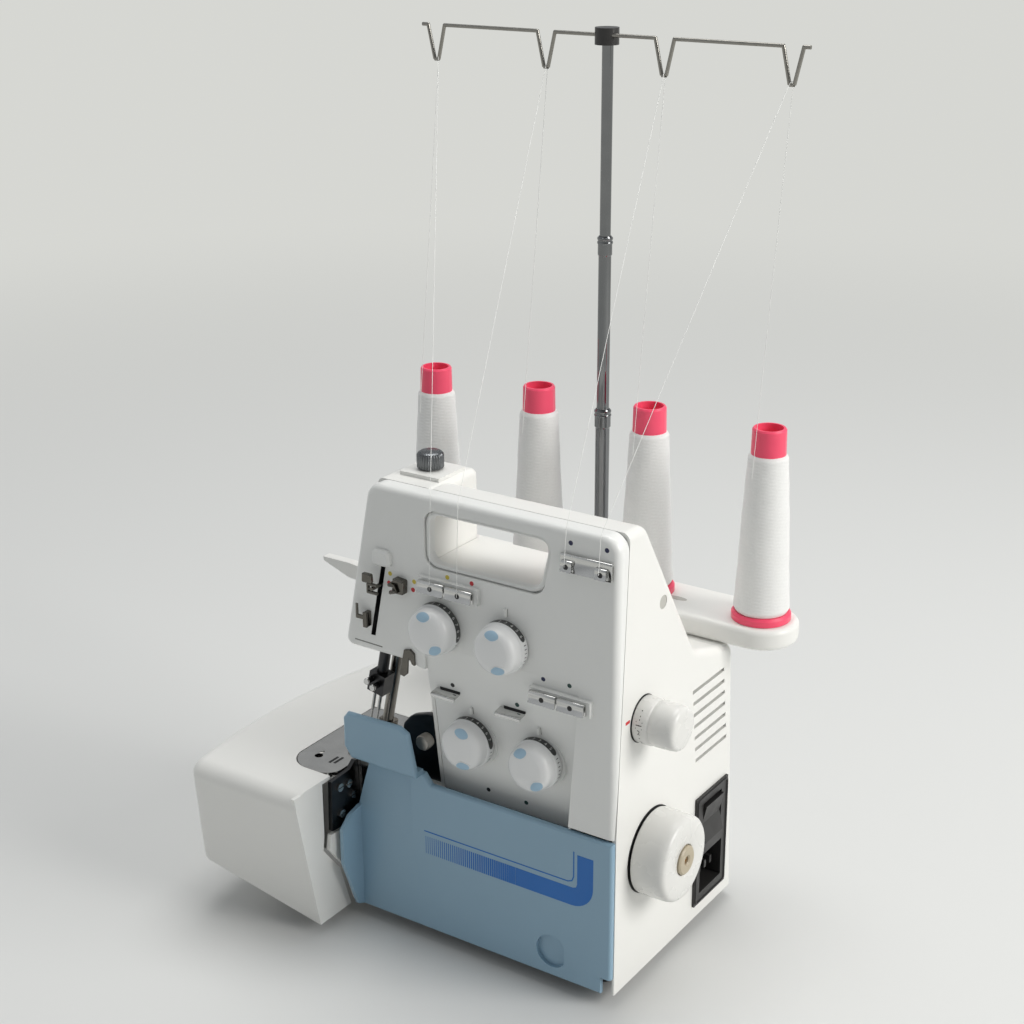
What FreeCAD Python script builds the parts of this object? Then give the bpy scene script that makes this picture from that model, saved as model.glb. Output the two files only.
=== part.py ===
import FreeCAD, Part
import math
import os
import re
import Sketcher

Vec = FreeCAD.Vector
Rot = FreeCAD.Rotation

# A four-thread overlock sewing machine on its table, in millimetres.
# Pieces are laid out by three readings: u runs to the left from the right-hand side
# of the housing, v runs to the back from the face of the looper cover, z is the height.
SIZES = {
    # housing
    "body_width": 184, "body_top": 285, "body_floor": 8, "wall": 2.5,
    "shoulder_height": 178, "shoulder_front": 124, "slope_end_v": 90.5, "crest_back": 30,
    "shoulder_back": 137, "base_back": 148, "seam_low": 3.5, "seam_top": 12.5,
    "crest_round": 12, "side_round": 5, "corner_round": 8,
    "bed_top": 98.6, "bed_front": 14, "bed_back": 120,
    "hump_reach": 40, "hump_back": 62,
    # front panel and carrying handle
    "panel_face": 1.5, "strip_width": 31, "strip_neck": 23,
    "recess_depth": 13.2, "recess_skin": 3, "panel_round": 4, "panel_corner": 10,
    "arch_round": 15, "grip_right_low": 47, "grip_right_high": 40,
    "grip_round": 8,
    "head_back": 60, "head_round": 8,
    # base
    "tray_thick": 3, "foot_radius": 9, "foot_inset": 22, "foot_front": 30, "foot_rear": 128,
    # drive
    "shaft_v": 42, "shaft_z": 84.5, "shaft_radius": 6, "shaft_out": 18,
    "wheel_radius": 25.5, "wheel_face": 22.5, "hub_radius": 8.6,
    "pulley_start": 30, "pulley_width": 10, "pulley_radius": 24, "pulley_groove": 20,
    "motor_v": 105, "motor_z": 45, "motor_radius": 24, "motor_start": 50, "motor_long": 56,
    "motor_pulley_radius": 11, "motor_groove": 7, "belt_thick": 3, "belt_width": 4,
    "chassis_right": 44, "chassis_thick": 4, "chassis_back": 125, "bush_radius": 9,
    # side controls
    "stitch_v": 30, "stitch_radius": 13.4, "stitch_face": 25.5,
    "plug_v": 49.5, "plug_radius": 4,
    "vent_count": 7, "vent_pitch": 7.75, "vent_start": 87.4, "vent_long": 38.5,
    "vent_high": 2.4, "vent_shift": 1.05,
    "inlet_front": 95, "inlet_back": 134, "inlet_low": 17.5, "inlet_high": 90.5, "inlet_deep": 20,
    # tension dials
    "dial_radius": 15, "dial_cap": 13.6, "dial_tall": 14, "post_radius": 3,
    # needle and presser
    "head_lean": 11.4, "needle_v": 26, "bar_radius": 3.4,
    "presser_v": 36, "lever_v": 48, "lever_thick": 6,
    "regulator_v": 36, "regulator_radius": 7.5, "regulator_tall": 10,
    # sewing bed, knives and loopers
    "plate_front": -16, "plate_back": 70, "plate_thick": 2.9,
    "plate_round": 16,
    "arm_front": -13, "arm_back": 74, "arm_low": 48, "arm_wall": 3.5,
    "bracket_thick": 2.8,
    # looper cover
    "cover_low": 8.5, "cover_thick": 3.2, "tab_front": -7,
    "scoop_u": 39.5, "scoop_z": 25, "scoop_radius": 10.3, "scoop_deep": 1.4,
    "hinge_v": 7.5, "hinge_z": 14.5, "hinge_radius": 2.2,
    # extension table
    "table_skin": 2.3, "table_front": -50,
    "table_back": 140, "table_low": 7, "table_low_left": 37, "table_front_low": -31,
    "table_round": 9, "table_gap": 0.5,
    # spool stand, spools, pole and thread tree
    "stand_right": 33.5, "stand_half": 22, "stand_thick": 13, "spool_pitch": 78, "spool_first": -11,
    "spool_v": 149, "spool_pin": 3.2, "core_flange": 17.6, "core_collar": 10.2, "core_tall": 117,
    "pack_low": 17, "pack_high": 11.6, "pack_base": 5.5, "winding_turns": 20, "winding_radius": 1.7,
    "pole_v": 160, "pole_low_radius": 4.35, "pole_mid_radius": 3.8, "pole_top_radius": 3.3,
    "pole_wall": 0.45, "pole_fit": 0.1, "pole_low_end": 297, "pole_mid_end": 403, "pole_top_end": 516,
    "pole_overlap": 16, "tree_wire": 1.1, "tree_drop": 20, "tree_open": 6,
    "cap_radius": 7, "thread_radius": 0.25,
}
LAYOUT = {
    "column_width": "Sizes.body_width - 58",
    "head_low_left": "Sizes.body_width + 1",
    "head_top_left": "Sizes.body_width - 20",
    "plate_right": "Sizes.body_width + 0.6",
    "plate_left": "Sizes.body_width + 35",
    "plate_inner": "Sizes.body_width - 16",
    "arm_left": "Sizes.body_width + 42",
    "bracket_u": "Sizes.body_width - 2.6",
    "cover_width": "Sizes.body_width - 6",
    "tab_right": "Sizes.body_width - 55",
    "tab_left": "Sizes.body_width - 2.5",
    "cover_step": "Sizes.body_width - 61",
    "table_right": "Sizes.body_width + 0.9",
    "table_left": "Sizes.body_width + 92",
    "needle_u": "Sizes.body_width - 6",
    "presser_u": "Sizes.body_width - 8",
    "lever_u": "Sizes.body_width - 12",
    "lever_tip": "Sizes.body_width + 53",
    "regulator_u": "Sizes.body_width - 39",
    "grip_left": "Sizes.body_width - 59",
    "dial_one_u": "Sizes.body_width - 68.7",
    "dial_two_u": "Sizes.body_width - 113.5",
    "dial_three_u": "Sizes.body_width - 86.4",
    "dial_four_u": "Sizes.body_width - 132",
    "head_low": "Sizes.body_top - 104",
    "grip_low": "Sizes.body_top - 42",
    "grip_high": "Sizes.body_top - 8",
    "dial_upper_z": "Sizes.body_top - 76",
    "dial_lower_z": "Sizes.body_top - 144.4",
    "recess_top": "Sizes.body_top - 89",
    "plug_z": "Sizes.body_top - 51.2",
    "stitch_z": "Sizes.body_top - 113",
    "needle_ref_z": "Sizes.body_top - 137",
    "presser_ref_z": "Sizes.body_top - 140",
    "lever_z": "Sizes.body_top - 82",
    "slope_end_z": "Sizes.shoulder_height + 11.2",
    "vent_first": "Sizes.shoulder_height - 14.5",
    "hump_top": "Sizes.bed_top + 47.4",
    "cover_top": "Sizes.bed_top + 8",
    "cover_high": "Sizes.bed_top + 14.4",
    "tab_top": "Sizes.bed_top + 43.9",
    "panel_low": "Sizes.bed_top + 0.4",
    "strip_low": "Sizes.bed_top + 9.9",
    "table_top": "Sizes.bed_top + 3.4",
    "chassis_top": "Sizes.bed_top - 0.6",
    "pack_end": "Sizes.core_tall - 18.5",
    "pole_u": "Sizes.spool_first + 1.5 * Sizes.spool_pitch",
    "tree_v": "Sizes.pole_v - 4",
    "tree_z": "Sizes.pole_top_end + 2",
    "chassis_left": "Sizes.body_width - 72",
    "shaft_left": "Sizes.body_width - 34",
    "right_x": "(table_left - Sizes.stand_right) / 2",
    "front_y": "-(Sizes.spool_v + Sizes.stand_half + Sizes.table_front) / 2",
    "plate_top": "Sizes.bed_top + 0.3 + Sizes.plate_thick",
    "lean_ratio": "tan(Sizes.head_lean)",
    "stand_top": "Sizes.shoulder_height + 0.3 + Sizes.stand_thick",
    "stand_left": "2 * Sizes.spool_first + 3 * Sizes.spool_pitch + Sizes.stand_right",
    "recess_slope": "Sizes.recess_depth / (recess_top - panel_low)",
    "lower_seat": "Sizes.panel_face + (recess_top - dial_lower_z - Sizes.dial_radius)"
                  " * Sizes.recess_depth / (recess_top - panel_low)",
}

doc = FreeCAD.newDocument("overlock_machine")
sizes = doc.addObject("Spreadsheet::Sheet", "Sizes")
for row, (alias, number) in enumerate(SIZES.items(), start=1):
    sizes.set(f"A{row}", str(number))
    sizes.setAlias(f"A{row}", alias)
layout = doc.addObject("Spreadsheet::Sheet", "Layout")
for row, (alias, formula) in enumerate(LAYOUT.items(), start=1):
    layout.set(f"A{row}", "=" + formula)
    layout.setAlias(f"A{row}", alias)
doc.recompute()

NODES = []


def q(text):
    """A reading such as 'wall + 2' with each name tied to its sheet."""
    def tie(found):
        word = found.group(0)
        if word in SIZES:
            return "Sizes." + word
        if word in LAYOUT:
            return "Layout." + word
        return word
    return re.sub(r"[a-z][a-z_]+", tie, str(text))


def val(text):
    return float(sizes.evalExpression(q(text)))


def at(u, v, z):
    return Vec(val(f"right_x - ({u})"), val(f"front_y + ({v})"), val(z))


def bind(item, **readings):
    for prop, text in readings.items():
        item.setExpression(prop, q(text))


def place(item, u, v, z, turn=None):
    if turn:
        item.Placement = FreeCAD.Placement(Vec(), turn)
    item.setExpression("Placement.Base.x", q(f"right_x - ({u})"))
    item.setExpression("Placement.Base.y", q(f"front_y + ({v})"))
    item.setExpression("Placement.Base.z", q(z))


ALONG = {"x": Rot(Vec(0, 1, 0), 90), "y": Rot(Vec(1, 0, 0), -90), "-y": Rot(Vec(1, 0, 0), 90), "z": None}


def box(u0, u1, v0, v1, z0, z1):
    item = doc.addObject("Part::Box", "block")
    bind(item, Length=f"({u1}) - ({u0})", Width=f"({v1}) - ({v0})", Height=f"({z1}) - ({z0})")
    place(item, u1, v0, z0)
    return item


def rod(axis, u, v, z, radius, length):
    item = doc.addObject("Part::Cylinder", "rod")
    bind(item, Radius=radius, Height=length)
    place(item, u, v, z, ALONG[axis])
    return item


def lean(item):
    """Tip a piece sideways with the needle bar, about its own start."""
    item.Placement = FreeCAD.Placement(item.Placement.Base, Rot(Vec(0, 1, 0), val("head_lean")))
    item.setExpression("Placement.Rotation.Angle", q("head_lean"))
    return item


def bar_u(which, z):
    return f"{which}_u - (({z}) - {which}_ref_z) * lean_ratio"


def leaning_rod(which, z0, z1, radius, du="0", dv="0"):
    item = rod("z", f"{bar_u(which, z0)} + ({du})", f"{which}_v + ({dv})", z0, radius,
               f"(({z1}) - ({z0})) / cos(head_lean)")
    return lean(item)


def leaning_box(which, z0, z1, left, right, front, back):
    """A block around a leaning bar, measured from the bar's axis."""
    item = doc.addObject("Part::Box", "block")
    bind(item, Length=f"({left}) + ({right})", Width=f"({front}) + ({back})",
         Height=f"(({z1}) - ({z0})) / cos(head_lean)")
    place(item, f"{bar_u(which, z0)} + ({left}) * cos(head_lean)", f"{which}_v - ({front})",
          f"{z0} + ({left}) * sin(head_lean)")
    return lean(item)


def outline(body, plane, points, name):
    sketch = body.newObject("Sketcher::SketchObject", name)
    support = [o for o in body.Origin.OriginFeatures if o.Role == plane][0]
    sketch.AttachmentSupport = [(support, "")]
    sketch.MapMode = "FlatFace"
    spots = [Vec(val(a), val(b), 0) for a, b in points]
    count = len(spots)
    for i in range(count):
        sketch.addGeometry(Part.LineSegment(spots[i], spots[(i + 1) % count]), False)
    for i in range(count):
        sketch.addConstraint(Sketcher.Constraint("Coincident", i, 2, (i + 1) % count, 1))
    for i, (a, b) in enumerate(points):
        for kind, text, number in (("DistanceX", a, spots[i].x), ("DistanceY", b, spots[i].y)):
            index = sketch.addConstraint(Sketcher.Constraint(kind, -1, 1, i, 1, number))
            sketch.setExpression(f"Constraints[{index}]", q(text))
    return sketch


def prism(view, points, start, length):
    """A straight-sided piece: 'front' takes (u, z), 'side' takes (v, z), 'plan' takes (u, v)."""
    body = doc.addObject("PartDesign::Body", view + "_body")
    if view == "front":
        plane, points = "XZ_Plane", [(f"right_x - ({u})", z) for u, z in points]
        body.setExpression("Placement.Base.y", q(f"front_y + ({start})"))
    elif view == "side":
        plane, points = "YZ_Plane", [(f"front_y + ({v})", z) for v, z in points]
        body.setExpression("Placement.Base.x", q(f"right_x - ({start}) - ({length})"))
    else:
        plane, points = "XY_Plane", [(f"right_x - ({u})", f"front_y + ({v})") for u, v in points]
        body.setExpression("Placement.Base.z", q(start))
    pad = body.newObject("PartDesign::Pad", view + "_pad")
    pad.Profile = outline(body, plane, points, view + "_outline")
    pad.Reversed = view == "front"
    bind(pad, Length=length)
    doc.recompute()
    return body


def turned(points, u, v, z, axis):
    """A piece of revolution from (radius, distance) readings, its axis along the named way."""
    body = doc.addObject("PartDesign::Body", "turned_body")
    spin = body.newObject("PartDesign::Revolution", "turned_form")
    spin.Profile = outline(body, "XZ_Plane", points, "turned_outline")
    spin.ReferenceAxis = (spin.Profile[0], ["V_Axis"])
    spin.Angle = 360
    place(body, u, v, z, ALONG[axis])
    doc.recompute()
    return body


def rounded(body, radius, wanted):
    """Round the edges of a body that the test picks by middle point and direction."""
    base = body.Tip
    names = []
    for number, edge in enumerate(base.Shape.Edges, start=1):
        middle = edge.valueAt((edge.FirstParameter + edge.LastParameter) / 2)
        way = edge.tangentAt((edge.FirstParameter + edge.LastParameter) / 2)
        if wanted(middle, way):
            names.append(f"Edge{number}")
    if names:
        fillet = body.newObject("PartDesign::Fillet", "rounding")
        fillet.Base = (base, names)
        bind(fillet, Radius=radius)
        doc.recompute()
    return body


def near(a, b, slack=0.05):
    return abs(a - b) < slack


def joined(*parts):
    if len(parts) == 1:
        return parts[0]
    item = doc.addObject("Part::MultiFuse", "joined")
    item.Shapes = list(parts)
    return item


def cut(base, *tools):
    item = doc.addObject("Part::Cut", "cut")
    item.Base = base
    item.Tool = joined(*tools)
    return item


def shared(*parts):
    item = doc.addObject("Part::MultiCommon", "shared")
    item.Shapes = list(parts)
    return item


def group(*parts):
    item = doc.addObject("Part::Compound", "group")
    item.Links = list(parts)
    return item


def shaped(shape):
    item = doc.addObject("Part::Feature", "form")
    item.Shape = shape
    return item


def node(name, item):
    item.Label = name
    NODES.append((name, item))
    return item


# Rear housing: one moulded shell with a sloping back, a shoulder for the spool stand,
# a tunnel behind the carrying handle and a low bed to the left that holds the loopers.
housing = prism("side", [
    ("seam_low", "body_floor"), ("seam_low", "strip_low"), ("seam_top", "body_top"),
    ("crest_back", "body_top"), ("slope_end_v", "slope_end_z"), ("shoulder_front", "shoulder_height"),
    ("shoulder_back", "shoulder_height"), ("base_back", "body_floor")], "0", "column_width")
crest_y, crest_z = val("front_y + crest_back"), val("body_top")
rounded(housing, "crest_round", lambda m, w: abs(w.x) > 0.9 and near(m.y, crest_y) and near(m.z, crest_z))
back_y, shoulder_z = val("front_y + shoulder_back"), val("shoulder_height")
rounded(housing, "corner_round", lambda m, w: abs(w.x) > 0.9 and near(m.y, back_y) and near(m.z, shoulder_z))
slope_y, slope_z = val("front_y + slope_end_v"), val("slope_end_z")
rounded(housing, "corner_round * 2", lambda m, w: abs(w.x) > 0.9 and near(m.y, slope_y) and near(m.z,
                                                            slope_z))
side_x = val("column_width")
floor_z, seam_y = val("body_floor"), val("front_y + seam_top")
rounded(housing, "side_round", lambda m, w: near(m.x, side_x) and m.z > floor_z + 1 and m.y > seam_y + 0.5)
bed = box("column_width - wall", "body_width", "bed_front", "bed_back", "body_floor", "bed_top")
hump = prism("front", [
    ("column_width - wall", "bed_top - wall"), ("column_width - wall", "hump_top"), ("column_width",
                                                            "hump_top"),
    ("column_width + 6", "hump_top - 16"), ("column_width + 17", "hump_top - 26"),
    ("column_width + hump_reach", "bed_top + 8"), ("column_width + hump_reach", "bed_top - wall")],
    "bed_front + 4", "hump_back - bed_front - 4")
cavity = prism("side", [
    ("-2", "body_floor - 3"), ("-2", "strip_low"), ("2", "grip_low - 5"), ("crest_back + 22", "grip_low - 5"),
    ("slope_end_v - 3", "slope_end_z - 5"), ("shoulder_front - 2", "shoulder_height - 3"),
    ("shoulder_back - 3", "shoulder_height - 3"), ("base_back - 2.8", "body_floor - 3")],
    "wall", "column_width - wall * 2")
fin_hollow = prism("side", [
    ("2", "grip_low - 6"), ("seam_top - 14", "body_top - 3"), ("crest_back - 4", "body_top - 3"),
    ("crest_back + 20", "grip_low - 6")], "wall", "grip_right_high - wall * 2")
bed_hollow = box("column_width - wall - 0.5", "body_width - wall", "0", "bed_back - wall",
                 "body_floor - 1", "bed_top - wall")
grip_points = [("grip_right_low", "grip_low"), ("grip_right_high", "grip_high"),
               ("grip_left", "grip_high"), ("grip_left", "grip_low")]
tunnel = prism("front", grip_points[:2] + [("column_width + 1", "grip_high"), ("column_width + 1",
                                                            "grip_low")],
               "-10", "base_back")
grip_round = lambda m, w: abs(w.y) > 0.9 and m.x > val("right_x - grip_right_low - 1")
rounded(tunnel, "grip_round", grip_round)
openings = [
    rod("x", "wall + 1", "hinge_v", "hinge_z", "hinge_v + 2.9", "wall - 0.3"),
    rod("x", "wall + 1", "shaft_v", "shaft_z", "shaft_radius + 3", "wall + 2"),
    rod("x", "wall + 1", "stitch_v", "stitch_z", "4.6", "wall + 2"),
    rod("x", "wall + 1", "plug_v", "plug_z", "plug_radius", "wall + 2"),
    box("-1", "wall + 1", "inlet_front + 1", "inlet_back - 1", "inlet_low + 1", "inlet_high - 1"),
    box("plate_inner + 2", "body_width + 1", "bed_front + 4", "hump_back - 4", "arm_low + 4", "bed_top + 1"),
]
for i in range(int(val("vent_count"))):
    start = f"vent_start + {i} * vent_shift"
    height = f"vent_first - {i} * vent_pitch"
    openings.append(box("-1", "wall + 1", start, f"{start} + vent_long",
                        f"{height} - vent_high / 2", f"{height} + vent_high / 2"))
openings.append(prism("side", [
    ("-8", "recess_top"), ("panel_face", "recess_top"), ("panel_face + recess_depth", "panel_low"),
    ("-8", "panel_low")], "column_width - wall - 0.2", "wall + 0.4"))
node("rear_housing", cut(joined(housing, bed, hump), cavity, fin_hollow, bed_hollow, tunnel, *openings))

# Front panel: a rounded plate with the carrying handle cut through it, a recess that deepens
# toward the bottom for the dials, a slanted slot for the take-up and holes for the dial posts.
panel = prism("front", [
    ("0", "strip_low"), ("strip_width", "strip_low"), ("strip_width", "panel_low"),
    ("column_width - 6", "panel_low"), ("column_width - 6", "cover_high + 1"), ("column_width",
                                                            "cover_high + 1"),
    ("column_width", "head_low"), ("head_low_left", "head_low"), ("head_top_left", "body_top"),
    ("0", "body_top")], "panel_face", "seam_top - panel_face - 0.5")
right_x, top_z = val("right_x"), val("body_top")
arch_x, arch_z = val("right_x - column_width"), val("head_low")
rounded(panel, "arch_round", lambda m, w: abs(w.y) > 0.9 and near(m.x, arch_x) and near(m.z, arch_z))
rounded(panel, "panel_corner", lambda m, w: abs(w.y) > 0.9 and near(m.z, top_z))
low_z, low_x = val("head_low"), val("right_x - head_low_left")
rounded(panel, "panel_corner / 2", lambda m, w: abs(w.y) > 0.9 and near(m.z, low_z) and near(m.x, low_x))
strip_z = val("strip_low")
rounded(panel, "panel_round", lambda m, w: near(m.y, 0) and abs(w.y) < 0.1 and m.z > strip_z + 4)
grip = prism("front", grip_points, "-5", "seam_top + 10")
rounded(grip, "grip_round", lambda m, w: abs(w.y) > 0.9)
sheath = prism("side", [
    ("panel_face - 1", "panel_low - 1"), ("seam_low - 0.5", "panel_low - 1"), ("seam_low - 0.5", "strip_low"),
    ("seam_top - 0.5", "body_top"), ("panel_face - 1", "body_top")], "0", "column_width")
head_sheath = box("column_width", "head_low_left + 1", "panel_face - 1", "seam_top - 0.5", "head_low - 1",
                  "body_top")
recess_points = [("strip_width", "panel_low - 5"), ("strip_neck", "recess_top + 5"),
                 ("column_width + 1", "recess_top + 5"), ("column_width + 1", "panel_low - 5")]
recess = shared(prism("front", recess_points, "-10", "60"), prism("side", [
    ("-8", "recess_top"), ("panel_face", "recess_top"), ("panel_face + recess_depth", "panel_low"),
    ("panel_face + recess_depth", "panel_low - 5"), ("-8", "panel_low - 5")], "0", "column_width"))
floor_points = [("strip_width - 3", "panel_low"), ("strip_neck - 3", "recess_top + 8"),
                ("column_width - wall - 0.4", "recess_top + 8"), ("column_width - wall - 0.4", "panel_low")]
recess_floor = shared(prism("front", floor_points, "-10", "60"), prism("side", [
    ("panel_face", "recess_top"), ("panel_face + recess_depth", "panel_low"),
    ("panel_face + recess_depth + recess_skin", "panel_low"), ("panel_face + recess_skin", "recess_top + 8"),
    ("panel_face", "recess_top + 8")], "0", "column_width"))
take_up_slot = prism("front", [
    ("head_top_left - 11.6", "body_top - 48"), ("head_top_left - 8.4", "body_top - 48"),
    ("head_top_left + 0.6", "body_top - 93"), ("head_top_left - 2.6",
                                               "body_top - 93")], "-5", "seam_top + 20")
DIALS = (("1", "dial_one_u", "dial_upper_z", "panel_face"), ("2", "dial_two_u", "dial_upper_z", "panel_face"),
         ("3", "dial_three_u", "dial_lower_z", "lower_seat"), ("4", "dial_four_u", "dial_lower_z",
                                                            "lower_seat"))
post_holes = [rod("y", u, "-10", z, "post_radius + 0.06", "50") for name, u, z, face in DIALS]
seats = [rod("y", u, face, z, "dial_radius + 1.2", "6") for name, u, z, face in DIALS[2:]]
plate = cut(shared(panel, joined(sheath, head_sheath)), recess)
pads = [box("dial_one_u - 27.5", "dial_one_u + 12.5", "panel_face - 3", "panel_face + 3", "grip_low - 14.5",
            "grip_low - 5"),
        box("15", "54", "panel_face - 3", "panel_face + 3", "recess_top - 15.5", "recess_top - 6.5")]
node("front_panel", cut(joined(plate, recess_floor, *pads, *seats), grip, take_up_slot, *post_holes))

# Head housing: the rear half of the needle head, leaning to the left like the panel in front of it.
head = prism("front", [("column_width + 0.4", "head_low"), ("head_low_left", "head_low"),
                       ("head_top_left", "body_top"), ("column_width + 0.4", "body_top")],
             "seam_top + 0.1", "head_back - seam_top")
head_y = val("head_back - seam_top")
rounded(head, "head_round", lambda m, w: abs(w.y) < 0.1 and near(m.y, head_y) and m.z > low_z + 1)
rounded(head, "head_round / 2", lambda m, w: near(m.z, top_z) and abs(w.y) > 0.9)
head_hollow = prism("front", [("column_width + wall + 0.4", "head_low - 3"),
                              ("head_low_left - wall", "head_low - 3"),
                              ("head_top_left - wall", "body_top - wall"),
                              ("column_width + wall + 0.4", "body_top - wall")],
                    "seam_top - 1", "head_back - seam_top - wall")
lever_slot = box("lever_u - 4", "head_low_left + 6", "lever_v - 1.5", "lever_v + lever_thick + 1.5",
                 "lever_z - 12", "lever_z + 24")
regulator_pad = box("regulator_u - 15", "regulator_u + 12", "regulator_v - 13", "regulator_v + 13",
                    "body_top - 1", "body_top + 2.2")
regulator_bore = rod("z", "regulator_u", "regulator_v", "body_top - 10", "4.4", "20")
node("head_housing", cut(joined(cut(head, head_hollow), regulator_pad), lever_slot, regulator_bore))

# Base tray with two ears for the cover's hinge rod, and four rubber feet.
tray = [box("wall + 0.5", "column_width - wall - 0.3", "hinge_v + 9.5", "base_back - 4.5", "body_floor",
            "body_floor + tray_thick"),
        box("column_width - wall - 1", "body_width - wall - 0.5", "hinge_v + 9.5", "bed_back - wall - 0.4",
            "body_floor", "body_floor + tray_thick")]
for ear_u in ("85", "135"):
    tray.append(box(f"{ear_u} - 3", f"{ear_u} + 3", "hinge_v", "hinge_v + 14", "hinge_z - 3.8",
                    "hinge_z + 3.8"))
    tray.append(rod("x", f"{ear_u} + 3", "hinge_v", "hinge_z", "3.8", "6"))
node("base_tray", cut(joined(*tray), rod("x", "170", "hinge_v", "hinge_z", "hinge_radius + 0.08", "160")))
node("rubber_feet", group(*[rod("z", u, v, "0", "foot_radius", "body_floor") for u, v in (
    ("foot_inset", "foot_front"), ("body_width - foot_inset", "foot_front"),
    ("foot_inset", "foot_rear"), ("body_width - foot_inset", "foot_rear - 14"))]))

# Inner frame: two uprights on a floor plate, bored for the main shaft and the motor.
frame_parts = [box("chassis_right", "chassis_left + chassis_thick", "24", "chassis_back",
                   "body_floor + tray_thick + 0.2", "body_floor + tray_thick + 4.2")]
for side in ("chassis_right", "chassis_left"):
    frame_parts.append(box(side, f"{side} + chassis_thick", "24", "chassis_back",
                           "body_floor + tray_thick + 0.2", "chassis_top"))
chassis_bores = [rod("x", "chassis_left + 10", "shaft_v", "shaft_z", "bush_radius", "chassis_left"),
                 rod("x", "chassis_right + 6", "motor_v", "motor_z", "12", "10")]
node("chassis", cut(joined(*frame_parts), *chassis_bores))
node("shaft_bushes", group(*[turned(
    [("shaft_radius + 0.05", "0"), ("bush_radius - 0.02", "0"), ("bush_radius - 0.02", "chassis_thick + 4"),
     ("shaft_radius + 0.05", "chassis_thick + 4")], f"{side} + chassis_thick + 2", "shaft_v", "shaft_z", "x")
    for side in ("chassis_right", "chassis_left")]))

# Main shaft, handwheel with its hub disc, belt drive and motor.
node("main_shaft", rod("x", "shaft_left", "shaft_v", "shaft_z", "shaft_radius", "shaft_left + shaft_out"))
node("handwheel", turned(
    [("shaft_radius + 0.05", "1"), ("wheel_radius - 1", "1"), ("wheel_radius", "3"),
     ("wheel_radius", "wheel_face - 3.5"), ("wheel_radius - 2.5", "wheel_face"), ("hub_radius + 0.8",
                                                            "wheel_face"),
     ("hub_radius + 0.4", "wheel_face - 2.2"), ("shaft_radius + 0.05", "wheel_face - 2.2")],
    "0", "shaft_v", "shaft_z", "x"))
node("handwheel_disc", turned(
    [("2.4", "wheel_face - 1.9"), ("hub_radius", "wheel_face - 1.9"), ("hub_radius", "wheel_face + 0.6"),
     ("hub_radius - 1", "wheel_face + 1.4"), ("3.4", "wheel_face + 1.4"), ("2.4", "wheel_face + 0.6")],
    "0", "shaft_v", "shaft_z", "x"))


def grooved(radius, groove, bore, width):
    half = f"({width} - belt_width - 1) / 2"
    return [(bore, "0"), (radius, "0"), (radius, half), (groove, half), (groove, f"{width} - {half}"),
            (radius, f"{width} - {half}"), (radius, width), (bore, width)]


node("shaft_pulley", turned(grooved("pulley_radius", "pulley_groove", "shaft_radius + 0.05", "pulley_width"),
                            "pulley_start + pulley_width", "shaft_v", "shaft_z", "x"))
motor_spindle = grooved("motor_pulley_radius", "motor_groove", "0", "pulley_width")
node("motor_pulley", turned(
    [("0", "-14"), ("3", "-14"), ("3", "0")] + motor_spindle[1:],
    "pulley_start + pulley_width", "motor_v", "motor_z", "x"))
node("motor", turned(
    [("0", "0"), ("motor_radius - 6", "0"), ("motor_radius", "5"), ("motor_radius", "motor_long - 5"),
     ("motor_radius - 6", "motor_long"), ("3.1", "motor_long"), ("3.1", "motor_long - 6"), ("0",
                                                            "motor_long - 6")],
    "motor_start + motor_long", "motor_v", "motor_z", "x"))


def belt_side(grow):
    """The outline of a belt stretched over both pulleys, as a flat face."""
    big = at("pulley_start + pulley_width / 2 + belt_width / 2", "shaft_v", "shaft_z")
    small = at("pulley_start + pulley_width / 2 + belt_width / 2", "motor_v", "motor_z")
    r_big, r_small = val("pulley_groove") + grow, val("motor_groove") + grow
    gap = small - big
    tilt = math.acos((r_big - r_small) / gap.Length)
    base = math.atan2(gap.z, gap.y)

    def spot(middle, radius, angle):
        return middle + Vec(0, math.cos(angle), math.sin(angle)) * radius
    up, down = base + tilt, base - tilt
    edges = [Part.Arc(spot(big, r_big, up), spot(big, r_big, base + math.pi), spot(big, r_big,
                                                            down)).toShape(),
             Part.LineSegment(spot(big, r_big, down), spot(small, r_small, down)).toShape(),
             Part.Arc(spot(small, r_small, down), spot(small, r_small, base), spot(small, r_small,
                                                            up)).toShape(),
             Part.LineSegment(spot(small, r_small, up), spot(big, r_big, up)).toShape()]
    return Part.Face(Part.Wire(edges))


band = belt_side(val("belt_thick")).cut(belt_side(0.05))
node("drive_belt", shaped(band.extrude(Vec(val("belt_width"), 0, 0)).Solids[0]))

# Side controls: stitch dial, inlet with its rocker, and the plug in the upper screw hole.
node("stitch_dial", turned(
    [("0", "-16"), ("4.3", "-16"), ("4.3", "0.6"), ("stitch_radius", "0.6"), ("stitch_radius", "9"),
     ("stitch_radius - 0.9", "9.6"), ("stitch_radius - 0.9", "10.4"), ("stitch_radius - 0.3", "11.2"),
     ("stitch_radius - 0.6", "stitch_face - 2.5"), ("stitch_radius - 2.6", "stitch_face"), ("0",
                                                            "stitch_face")],
    "0", "stitch_v", "stitch_z", "x"))
inlet = joined(
    box("-1.6", "-0.1", "inlet_front", "inlet_back", "inlet_low", "inlet_high"),
    box("-0.2", "inlet_deep", "inlet_front + 1.3", "inlet_back - 1.3", "inlet_low + 1.3", "inlet_high - 1.3"))
socket = box("-2", "inlet_deep - 4", "inlet_front + 6", "inlet_back - 6", "inlet_low + 7", "inlet_low + 32")
rocker_well = box("-2", "inlet_deep - 4", "inlet_front + 8", "inlet_back - 8", "inlet_high - 34",
                  "inlet_high - 6")
pins = [box("2", "inlet_deep - 3", f"inlet_front + {v} - 1.2", f"inlet_front + {v} + 1.2",
            "inlet_low + 17", "inlet_low + 22") for v in ("12.5", "19.5", "26.5")]
node("power_inlet", joined(cut(inlet, socket, rocker_well), *pins))
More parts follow.
